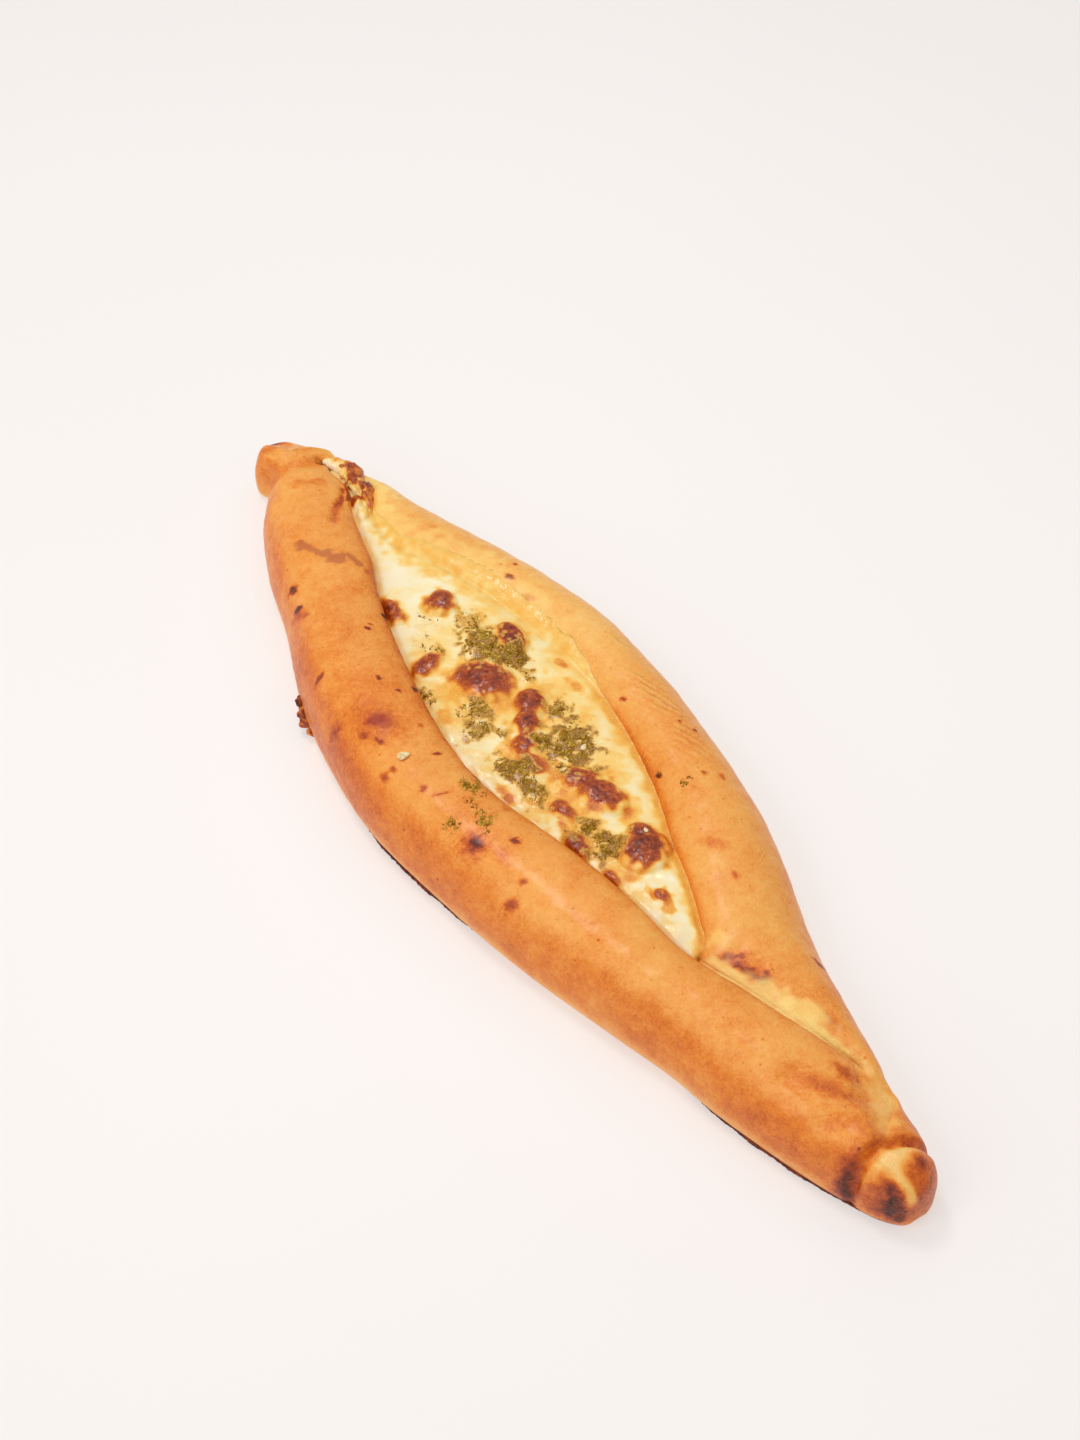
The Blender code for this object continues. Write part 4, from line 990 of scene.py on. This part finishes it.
def burnt_and_shadowed_base_edge():
    """The thin rim where the near side met the hot stone: crust burnt black, and painted contact shadow.
    """
    points, faces, levels = [], [], []
    round_points = 12
    for start, stop in BASE_EDGES:
        steps = int((stop - start) / 0.35)
        base = len(points)
        for i in range(steps + 1):
            t = i / steps
            x = start + (stop - start) * t
            side = along(NEAR_SIDE, x)
            foot = side - FOOT_INSET - side * FOOT_SHARE
            fade = math.sin(math.pi * t) ** 0.35 + 0.02
            torn = 0.5 * noise.noise(Vector((x / 6.0, 1.0, 0.0)))
            torn += 0.35 * noise.noise(Vector((x / 1.1, 5.0, 0.0)))
            reach = (along(BASE_EDGE_OUT, x) + torn + 1.2) * fade
            high = BASE_EDGE_HEIGHT * (1 + torn) * fade
            for j in range(round_points):
                a = 2 * math.pi * j / round_points
                y = capped(x, -(foot - 1.2 + reach * (0.5 + 0.5 * math.cos(a))), 0.0)[0]
                points.append(Vector((x, y, high * (0.5 + 0.5 * math.sin(a)))))
                levels.append(0.84 + 0.16 * noise.noise(Vector((x, y, 0.0)) / 1.2))
        faces += bands(base, steps, round_points)
        last = base + steps * round_points
        faces.append(tuple(base + j for j in range(round_points)))
        faces.append(tuple(last + j for j in reversed(range(round_points))))
    none = np.zeros(len(points))
    paints = {"bake_and_painted_light": levels, "stain": none, "film": none, "glaze": none, "stretched": none}
    return piece_of("burnt_and_shadowed_base_edge", points, faces, paints)


def flake(centre, up, size, draw):
    """A crumpled herb flake of 12 faces: six ragged edge points, and one above and below them."""
    spin = Euler((draw.uniform(-0.45, 0.45), draw.uniform(-0.45, 0.45), draw.uniform(0, 6.3)))
    lie = up.to_track_quat("Z", "Y").to_matrix() @ spin.to_matrix()
    long = size * draw.uniform(0.8, 1.5)
    wide = size * draw.uniform(0.4, 0.9)
    thick = size * draw.uniform(0.14, 0.3)
    local = []
    for k in range(6):
        a = math.pi / 3 * k + draw.uniform(-0.3, 0.3)
        edge_x = long * math.cos(a) * draw.uniform(0.7, 1.1)
        edge_y = wide * math.sin(a) * draw.uniform(0.7, 1.1)
        local.append((edge_x, edge_y, thick * draw.uniform(-0.8, 0.8)))
    local.append((draw.uniform(-0.2, 0.2) * long, 0.0, thick))
    local.append((0.0, draw.uniform(-0.2, 0.2) * wide, -thick * 0.7))
    return [centre + lie @ Vector(p) for p in local]


FLAKE_FACES = [(k, (k + 1) % 6, 6) for k in range(6)] + [((k + 1) % 6, k, 7) for k in range(6)]


def herb_flakes(name, clumps, tree, seed, sizes, allowed):
    """Every flake of a set of clumps, thickest at each clump's middle, as one piece.

    Flakes reach from the first to the second of sizes, in millimetres, and lie where allowed says.
    """
    draw = random.Random(seed)
    points, faces, tones = [], [], []
    for cx, cy, reach, across, count in clumps:
        placed = tries = 0
        while placed < count and tries < count * 12:
            tries += 1
            out, turn = draw.random() ** 0.62, draw.uniform(0, 2 * math.pi)
            x, y = cx + reach * out * math.cos(turn), cy + across * out * math.sin(turn)
            break_up = noise.noise(Vector((x / 1.7, y / 1.7, 4.0)))
            if break_up < draw.uniform(-0.5, 0.25) * out or not allowed(x, y):
                continue
            place, normal, _, _ = tree.ray_cast(Vector((x, y, OVERHEAD)), DOWN)
            if place is None:
                continue
            size = (sizes[0] + (sizes[1] - sizes[0]) * draw.random() ** 2.2) * (1.15 - 0.35 * out)
            base = len(points)
            points += flake(place + normal * draw.uniform(-0.10, 0.16), normal, size, draw)
            faces += [tuple(base + k for k in face) for face in FLAKE_FACES]
            clump_tone = 0.5 + 0.9 * noise.noise(Vector((x / 2.2, y / 2.2, 9.0)))
            tones += [min(1.0, max(0.0, 0.55 * draw.random() + 0.45 * clump_tone))] * 8
            placed += 1
    return piece_of(name, points, faces, {"tone": tones})


def sesame(trees):
    """Flat, drop-shaped seeds lying where they fell."""
    points, faces = [], []
    rows, turns = 22, 24
    for x, y, turn, length, width in SEEDS:
        hits = [t.ray_cast(Vector((x, y, OVERHEAD)), DOWN) for t in trees]
        place, normal = max((h[:2] for h in hits if h[0]), key=lambda h: h[0].z)
        spin = Euler((0.1, 0.06, math.radians(turn)))
        lie = normal.to_track_quat("Z", "Y").to_matrix() @ spin.to_matrix()
        base = len(points)
        for i in range(rows + 1):
            a = math.pi * i / rows
            for j in range(turns):
                b = 2 * math.pi * j / turns
                narrow = math.sin(a) * (1 - 0.32 * math.cos(a))
                ahead, aside = math.cos(a) * length / 2, narrow * math.cos(b) * width / 2
                p = Vector((ahead, aside, narrow * math.sin(b) * width * 0.24))
                p *= 1 + 0.05 * noise.noise(p * 1.4 + place)
                points.append(place + normal * width * 0.26 + lie @ p)
        faces += bands(base, rows, turns)
    return piece_of("sesame_seeds", points, faces)


def linear(hex_colour):
    """A colour given as sRGB hex, in the linear values that the shader takes."""
    channels = [int(hex_colour[i:i + 2], 16) / 255 for i in (1, 3, 5)]
    return (*[c / 12.92 if c <= 0.04045 else ((c + 0.055) / 1.055) ** 2.4 for c in channels], 1.0)


def add(tree, kind, inputs, stops=(), **settings):
    """One node with its settings and colour stops, its inputs set to values or linked to outputs."""
    made = tree.nodes.new(kind)
    for setting, value in settings.items():
        setattr(made, setting, value)
    for key, value in inputs.items():
        if isinstance(value, bpy.types.NodeSocket):
            tree.links.new(value, made.inputs[key])
        else:
            made.inputs[key].default_value = value
    if stops:
        colours = made.color_ramp.elements
        colours.remove(colours[1])
        colours[0].position, colours[0].color = stops[0][0], linear(stops[0][1])
        for position, colour in stops[1:]:
            colours.new(position).color = linear(colour)
    return made


# A wave pattern repeats every 0.314 of its scale's length.
WAVE_REPEAT = 0.314
# The colours of the sauce stains, of the oily cheese film on the crust and of the table's glow, which is
# painted light.
DRIED_SAUCE = "#A4301C"
CHEESE_OIL = "#FFDC7C"
TABLE_GLOW = "#BFBBB8"


def per_mm(size):
    """The pattern scale whose features are this many millimetres, for coordinates in metres."""
    return 1.0 / (size * MM)


def new_finish(name):
    """A new material with its nodes, its shader and the place on the object for its patterns."""
    made = bpy.data.materials.new(name)
    made.use_nodes = True
    tree = made.node_tree
    return made, tree, tree.nodes["Principled BSDF"], add(tree, "ShaderNodeTexCoord", {}).outputs["Object"]


def crust_finish():
    """Wheat dough brushed with egg and baked on a hot stone.

    The egg gives it a satin skin that runs from pale gold to chestnut, mottled over a few
    millimetres, with pores under a millimetre across. Burnt spots are dull, and cheese film slick.
    """
    made, tree, shader, place = new_finish("egg_washed_crust")
    bake_and_painted_light, stain, film, glaze, stretched = (
        add(tree, "ShaderNodeAttribute", {}, attribute_name=name).outputs["Fac"]
        for name in ("bake_and_painted_light", "stain", "film", "glaze", "stretched")
    )
    # Pores, the unevenness of the skin and its blotches, with how far each shifts the browning.
    pores, skin, blotch = (
        add(
            tree, "ShaderNodeTexNoise",
            {"Vector": place, "Scale": per_mm(size), "Detail": detail, "Roughness": rough},
        ).outputs["Fac"]
        for size, detail, rough in ((0.7, 3.0, 0.6), (1.5, 3.0, 0.55), (5.0, 4.0, 0.6))
    )
    fine, middling, wide = (
        add(
            tree, "ShaderNodeMath", {0: grain, 1: shift, 2: -shift / 2}, operation="MULTIPLY_ADD",
        ).outputs[0]
        for grain, shift in ((pores, 0.24), (skin, 0.14), (blotch, 0.08))
    )
    both = add(tree, "ShaderNodeMath", {0: fine, 1: middling}, operation="ADD").outputs[0]
    all_three = add(tree, "ShaderNodeMath", {0: both, 1: wide}, operation="ADD").outputs[0]
    # Scorched pores 0.3 to 0.9 mm across, one in every 5 mm or so, a few of them strong.
    cells = add(tree, "ShaderNodeTexVoronoi", {"Vector": place, "Scale": per_mm(5.0)})
    chance = add(tree, "ShaderNodeSeparateColor", {"Color": cells.outputs["Color"]}).outputs["Red"]
    size = add(tree, "ShaderNodeMapRange", {0: chance, 1: 0.45, 2: 1.0, 3: 0.0, 4: 0.10}).outputs[0]
    inside = add(
        tree, "ShaderNodeMath", {0: size, 1: cells.outputs["Distance"]}, operation="SUBTRACT",
    ).outputs[0]
    pore = add(tree, "ShaderNodeMapRange", {0: inside, 1: -0.02, 2: 0.05, 3: 0.0, 4: 0.18}).outputs[0]
    # Between them the skin is peppered with pimples of 0.3 to 0.6 mm, a little browner than the rest.
    peppered = add(tree, "ShaderNodeTexVoronoi", {"Vector": place, "Scale": per_mm(2.0)})
    luck = add(tree, "ShaderNodeSeparateColor", {"Color": peppered.outputs["Color"]}).outputs["Green"]
    width = add(tree, "ShaderNodeMapRange", {0: luck, 1: 0.3, 2: 1.0, 3: 0.0, 4: 0.16}).outputs[0]
    near = add(
        tree, "ShaderNodeMath", {0: width, 1: peppered.outputs["Distance"]}, operation="SUBTRACT",
    ).outputs[0]
    pimple = add(tree, "ShaderNodeMapRange", {0: near, 1: -0.06, 2: 0.05, 3: 0.0, 4: 1.0}).outputs[0]
    turned = add(
        tree, "ShaderNodeMapping",
        {"Vector": place, "Rotation": (0.0, 0.0, -math.radians(90.0 + STRETCH_SLANT))},
    ).outputs["Vector"]
    lines = add(
        tree, "ShaderNodeTexWave",
        {
            "Vector": turned, "Scale": WAVE_REPEAT * per_mm(STRETCH_GAP), "Distortion": 3.5,
            "Detail": 2.0, "Detail Scale": 1.4,
        },
    ).outputs["Fac"]
    mark = add(tree, "ShaderNodeMath", {0: lines, 1: stretched}, operation="MULTIPLY").outputs[0]
    plain = add(tree, "ShaderNodeMath", {0: bake_and_painted_light, 1: all_three}, operation="ADD").outputs[0]
    pored = add(tree, "ShaderNodeMath", {0: plain, 1: pore}, operation="ADD").outputs[0]
    pimpled = add(
        tree, "ShaderNodeMath", {0: pimple, 1: 0.07, 2: pored}, operation="MULTIPLY_ADD",
    ).outputs[0]
    level = add(
        tree, "ShaderNodeMath", {0: mark, 1: -0.10, 2: pimpled}, operation="MULTIPLY_ADD",
    ).outputs[0]
    crust = add(tree, "ShaderNodeValToRGB", {"Fac": level}, stops=(
        (0.00, "#FAE4B2"), (0.15, "#F9CF84"), (0.30, "#F7B85C"), (0.45, "#F09C40"), (0.55, "#E47E1E"),
        (0.65, "#CA5C12"), (0.75, "#A03E0C"), (0.85, "#6C260A"), (0.93, "#3C160A"), (1.00, "#1E0E08"),
    )).outputs["Color"]
    sauced = add(tree, "ShaderNodeMath", {0: stain, 1: 0.58}, operation="MULTIPLY").outputs[0]
    stained = add(
        tree, "ShaderNodeMix", {0: sauced, 6: crust, 7: linear(DRIED_SAUCE)}, data_type="RGBA",
    ).outputs[2]
    cheesy = add(tree, "ShaderNodeMath", {0: film, 1: 0.80}, operation="MULTIPLY").outputs[0]
    filmed = add(
        tree, "ShaderNodeMix", {0: cheesy, 6: stained, 7: linear(CHEESE_OIL)}, data_type="RGBA",
    ).outputs[2]
    tree.links.new(filmed, shader.inputs["Base Color"])

    dull = add(tree, "ShaderNodeMapRange", {0: level, 1: 0.62, 2: 0.95, 3: 0.42, 4: 0.60}).outputs[0]
    slick = add(
        tree, "ShaderNodeMath", {0: film, 1: -0.20, 2: dull}, operation="MULTIPLY_ADD",
    ).outputs[0]
    glazed = add(
        tree, "ShaderNodeMath", {0: glaze, 1: -0.18, 2: slick}, operation="MULTIPLY_ADD",
    ).outputs[0]
    uneven = add(
        tree, "ShaderNodeMath", {0: skin, 1: 0.24, 2: -0.12}, operation="MULTIPLY_ADD",
    ).outputs[0]
    rough = add(tree, "ShaderNodeMath", {0: glazed, 1: uneven}, operation="ADD").outputs[0]
    tree.links.new(rough, shader.inputs["Roughness"])
    grainy = add(
        tree, "ShaderNodeMath", {0: glaze, 1: -0.65, 2: 0.9}, operation="MULTIPLY_ADD",
    ).outputs[0]
    grain = add(
        tree, "ShaderNodeBump", {"Height": pores, "Distance": 0.34 * MM, "Strength": grainy},
    ).outputs["Normal"]
    wavy = add(tree, "ShaderNodeMath", {0: glaze, 1: -0.40, 2: 0.6}, operation="MULTIPLY_ADD").outputs[0]
    normal = grain
    for pattern, depth, strength in ((skin, 0.30, wavy), (pimple, 0.12, 0.8), (mark, 0.35, 1.0)):
        normal = add(
            tree, "ShaderNodeBump",
            {"Height": pattern, "Distance": depth * MM, "Strength": strength, "Normal": normal},
        ).outputs["Normal"]
    tree.links.new(normal, shader.inputs["Normal"])
    shader.inputs["IOR"].default_value = 1.45
    shader.inputs["Specular IOR Level"].default_value = 0.30
    shader.inputs["Subsurface Weight"].default_value = 0.06
    shader.inputs["Subsurface Radius"].default_value = (1.0, 0.5, 0.25)
    shader.inputs["Subsurface Scale"].default_value = 1.2 * MM
    shader.inputs["Coat Weight"].default_value = 0.24
    shader.inputs["Coat Roughness"].default_value = 0.25
    return made


def cheese_finish():
    """Mild white cheese, melted and browned under the oven's top heat.

    It is cream and slightly see-through with an oily gloss, golden where it is thin, and its
    blisters are red-brown to nearly black and granular. Oil from the herbs turns it olive and gold.
    """
    made, tree, shader, place = new_finish("melted_cheese")
    brown = add(tree, "ShaderNodeAttribute", {}, attribute_name="brown").outputs["Fac"]
    herb = add(tree, "ShaderNodeAttribute", {}, attribute_name="herb").outputs["Fac"]
    grains, curds = (
        add(
            tree, "ShaderNodeTexNoise",
            {"Vector": place, "Scale": per_mm(size), "Detail": 3.0, "Roughness": rough},
        ).outputs["Fac"]
        for size, rough in ((0.5, 0.6), (2.4, 0.55))
    )
    fine = add(tree, "ShaderNodeMath", {0: grains, 1: -0.5}, operation="ADD").outputs[0]
    # The grain shows most on what is browned.
    much = add(tree, "ShaderNodeMapRange", {0: brown, 1: 0.2, 2: 0.7, 3: 0.05, 4: 0.42}).outputs[0]
    wide = add(
        tree, "ShaderNodeMath", {0: curds, 1: 0.12, 2: -0.06}, operation="MULTIPLY_ADD",
    ).outputs[0]
    grained = add(
        tree, "ShaderNodeMath", {0: fine, 1: much, 2: brown}, operation="MULTIPLY_ADD",
    ).outputs[0]
    level = add(tree, "ShaderNodeMath", {0: grained, 1: wide}, operation="ADD").outputs[0]
    melted = add(tree, "ShaderNodeValToRGB", {"Fac": level}, stops=(
        (0.00, "#F6EAC6"), (0.12, "#F6E2A8"), (0.24, "#F6CE74"), (0.36, "#F2B448"), (0.48, "#E28A2C"),
        (0.58, "#C2601C"), (0.68, "#A04012"), (0.80, "#74280C"), (0.92, "#421407"), (1.00, "#260E07"),
    )).outputs["Color"]
    # Where herbs lie they are a paste of crumbs, and their oil shows round it as a golden rim.
    paste = add(tree, "ShaderNodeMath", {0: fine, 1: 1.8, 2: herb}, operation="MULTIPLY_ADD").outputs[0]
    olive = add(tree, "ShaderNodeValToRGB", {"Fac": paste}, stops=(
        (0.00, "#F2C660"), (0.35, "#E2B04C"), (0.65, "#CE9A3C"), (0.85, "#B48230"), (1.00, "#8E5E1C"),
    )).outputs["Color"]
    share = add(tree, "ShaderNodeMapRange", {0: herb, 1: 0.05, 2: 0.55, 3: 0.0, 4: 0.92}).outputs[0]
    stained = add(tree, "ShaderNodeMix", {0: share, 6: melted, 7: olive}, data_type="RGBA").outputs[2]
    tree.links.new(stained, shader.inputs["Base Color"])
    rough = add(tree, "ShaderNodeMapRange", {0: curds, 1: 0.3, 2: 0.7, 3: 0.12, 4: 0.30}).outputs[0]
    tree.links.new(rough, shader.inputs["Roughness"])
    crumbly = add(
        tree, "ShaderNodeBump", {"Height": grains, "Distance": 0.14 * MM, "Strength": 0.5},
    ).outputs["Normal"]
    pulled = add(
        tree, "ShaderNodeBump",
        {"Height": curds, "Distance": 0.40 * MM, "Strength": 0.5, "Normal": crumbly},
    ).outputs["Normal"]
    tree.links.new(pulled, shader.inputs["Normal"])
    shader.inputs["IOR"].default_value = 1.46
    shader.inputs["Specular IOR Level"].default_value = 0.32
    shader.inputs["Subsurface Weight"].default_value = 0.32
    shader.inputs["Subsurface Radius"].default_value = (1.0, 0.75, 0.35)
    shader.inputs["Subsurface Scale"].default_value = 1.8 * MM
    shader.inputs["Coat Weight"].default_value = 0.20
    shader.inputs["Coat Roughness"].default_value = 0.10
    return made


def herb_finish():
    """Dried thyme and mint, rubbed to flakes and wetted with oil: olive to brown, each flake its own."""
    made, tree, shader, place = new_finish("dried_herbs")
    tone = add(tree, "ShaderNodeAttribute", {}, attribute_name="tone").outputs["Fac"]
    vein = add(tree, "ShaderNodeTexNoise", {"Vector": place, "Scale": per_mm(0.4), "Detail": 2.0})
    mixed_tone = add(
        tree, "ShaderNodeMath", {0: vein.outputs["Fac"], 1: 0.3, 2: tone}, operation="MULTIPLY_ADD",
    )
    colour = add(tree, "ShaderNodeValToRGB", {"Fac": mixed_tone.outputs[0]}, stops=(
        (0.08, "#5A3006"), (0.30, "#90600F"), (0.55, "#B4841E"), (0.80, "#CEA032"), (1.00, "#E4BE5A"),
    )).outputs["Color"]
    tree.links.new(colour, shader.inputs["Base Color"])
    rough = add(tree, "ShaderNodeMapRange", {0: tone, 3: 0.45, 4: 0.7}).outputs[0]
    tree.links.new(rough, shader.inputs["Roughness"])
    ribs = add(
        tree, "ShaderNodeBump", {"Height": vein.outputs["Fac"], "Distance": 0.1 * MM, "Strength": 0.5},
    )
    tree.links.new(ribs.outputs["Normal"], shader.inputs["Normal"])
    shader.inputs["IOR"].default_value = 1.45
    shader.inputs["Specular IOR Level"].default_value = 0.15
    shader.inputs["Subsurface Weight"].default_value = 0.1
    shader.inputs["Subsurface Scale"].default_value = 0.4 * MM
    return made


def seed_finish():
    """Hulled sesame, lightly toasted: ivory with tan patches and a dull sheen."""
    made, tree, shader, place = new_finish("toasted_sesame")
    cloud = add(tree, "ShaderNodeTexNoise", {"Vector": place, "Scale": per_mm(1.2), "Detail": 3.0})
    toasted = add(
        tree, "ShaderNodeValToRGB", {"Fac": cloud.outputs["Fac"]},
        stops=((0.3, "#C99A55"), (0.5, "#EBD49C"), (0.7, "#F5E6BE")),
    ).outputs["Color"]
    tree.links.new(toasted, shader.inputs["Base Color"])
    rough = add(tree, "ShaderNodeMapRange", {0: cloud.outputs["Fac"], 3: 0.36, 4: 0.5}).outputs[0]
    tree.links.new(rough, shader.inputs["Roughness"])
    pits = add(
        tree, "ShaderNodeBump", {"Height": cloud.outputs["Fac"], "Distance": 0.1 * MM, "Strength": 0.4},
    )
    tree.links.new(pits.outputs["Normal"], shader.inputs["Normal"])
    shader.inputs["IOR"].default_value = 1.47
    return made


def table_finish():
    """A sheet of matt white acrylic that glows as painted light, as for food on white, so that it hardly
    takes a shadow.
    """
    made, tree, shader, place = new_finish("glowing_studio_table")
    cloud = add(tree, "ShaderNodeTexNoise", {"Vector": place, "Scale": per_mm(260.0), "Detail": 2.0})
    cloudy = add(
        tree, "ShaderNodeValToRGB", {"Fac": cloud.outputs["Fac"]},
        stops=((0.3, "#AFACAA"), (0.7, "#B1AEAC")),
    ).outputs["Color"]
    tree.links.new(cloudy, shader.inputs["Base Color"])
    shader.inputs["Roughness"].default_value = 0.75
    shader.inputs["Specular IOR Level"].default_value = 0.2
    # Its glow is painted weaker towards its edges, as painted shade.
    out = add(tree, "ShaderNodeVectorMath", {0: place}, operation="LENGTH").outputs["Value"]
    glow = add(tree, "ShaderNodeMapRange", {0: out, 1: 0.08, 2: 0.42, 3: 0.99, 4: 0.84}).outputs[0]
    tree.links.new(glow, shader.inputs["Emission Strength"])
    shader.inputs["Emission Color"].default_value = linear(TABLE_GLOW)
    return made


bread = bread_skin()
bread_tree = tree_of(bread)
cheese = cheese_skin(bread_tree)
cheese_tree = tree_of(cheese)
ridge = cheese_ridge()
crumbs = foot_crumbs(bread)
rim = burnt_and_shadowed_base_edge()


def on_cheese(x, y):
    """Whether a flake at (x, y) lies on the open cheese."""
    return along(NEAR_LIP, x) + 0.6 < y < along(FAR_LIP, x) - 0.4


def on_crust(x, y):
    """Whether a flake at (x, y) lies on one of the folds."""
    return y < along(NEAR_LIP, x) - 0.6 or y > along(FAR_LIP, x) + 0.8


# Rubbed herb flakes are about 0.3 to 1.2 mm across. These are half the smallest and the largest,
# and the two seeds of their random draws.
CHEESE_FLAKES, CRUST_FLAKES = (0.16, 0.62), (0.16, 0.60)
CHEESE_DRAW, CRUST_DRAW = 21, 22
cheese_clumps = [clump[:5] for clump in CHEESE_HERBS]
cheese_flakes = herb_flakes(
    "herbs_on_cheese", cheese_clumps, cheese_tree, CHEESE_DRAW, CHEESE_FLAKES, on_cheese,
)
crust_flakes = herb_flakes(
    "herbs_on_crust", CRUST_HERBS, bread_tree, CRUST_DRAW, CRUST_FLAKES, on_crust,
)
seeds = sesame((bread_tree, cheese_tree))

crust_look, cheese_look = crust_finish(), cheese_finish()
herb_look, seed_look = herb_finish(), seed_finish()
for piece, look, slot in (
    (bread, crust_look, "crust"), (rim, crust_look, "crust"), (cheese, cheese_look, "cheese"),
    (ridge, cheese_look, "cheese"), (crumbs, cheese_look, "cheese"), (cheese_flakes, herb_look, "herbs"),
    (crust_flakes, herb_look, "herbs"), (seeds, seed_look, "seed"),
):
    piece.data.materials.append(look)
    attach(piece, "root")
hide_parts("dough_boat")
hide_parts("cheese_filling")

# A pale table under it, and soft light as in a white studio: a wide panel overhead and behind, a
# small one high at the far tip, and two on the near side that give the near fold its sheen.
TABLE_SIZE = 8.0
bpy.ops.mesh.primitive_plane_add(size=TABLE_SIZE, location=(0, 0, 0))
table = bpy.context.object
table.name = "studio_table"
table.data.materials.append(table_finish())


def panel(name, place, aim, size, power, colour):
    """A square of soft light, turned towards a point."""
    light = bpy.data.lights.new(name, "AREA")
    light.shape = "SQUARE"
    light.size = size
    light.energy = power
    light.color = linear(colour)[:3]
    made = bpy.data.objects.new(name, light)
    made.location = place
    made.rotation_euler = (Vector(aim) - Vector(place)).to_track_quat("-Z", "Y").to_euler()
    bpy.context.scene.collection.objects.link(made)


panel("overhead_panel", (-0.35, 0.45, 1.5), (0, 0, 0), 1.8, 4.7, "#FFFFFF")
panel("key_panel", (-0.50, -0.08, 1.22), (0, 0, 0), 0.30, 3.9, "#FFFFFF")
panel("near_side_panel", (-0.10, -0.80, 1.20), (0, 0, 0), 0.25, 1.1, "#FFFFFF")
panel("fill_panel", (0.1, -1.2, 0.9), (0, 0, 0), 1.0, 5.0, "#FFFFFF")

world = bpy.data.worlds.new("white_studio")
world.use_nodes = True
white_walls = world.node_tree.nodes["Background"]
white_walls.inputs["Color"].default_value = linear("#FCFAFA")
white_walls.inputs["Strength"].default_value = 0.56
bpy.context.scene.world = world
bpy.context.scene.view_settings.view_transform = "Standard"

# The camera stands where the photograph was taken from: 40 degrees off straight down.
CAMERA_PLACE = (0.3515, -0.2411, 0.5459)
CAMERA_AIM = (-0.02836, 0.01481, 0.0)
LENS_LENGTH = 65.0
SENSOR_HEIGHT = 36.0
lens = bpy.data.cameras.new("photo_camera")
lens.lens = LENS_LENGTH
lens.sensor_fit = "VERTICAL"
lens.sensor_height = SENSOR_HEIGHT
lens.clip_start = 0.01
viewpoint = bpy.data.objects.new("photo_camera", lens)
viewpoint.location = CAMERA_PLACE
look = Vector(CAMERA_AIM) - viewpoint.location
viewpoint.rotation_euler = look.to_track_quat("-Z", "Y").to_euler()
bpy.context.scene.collection.objects.link(viewpoint)
bpy.context.scene.camera = viewpoint
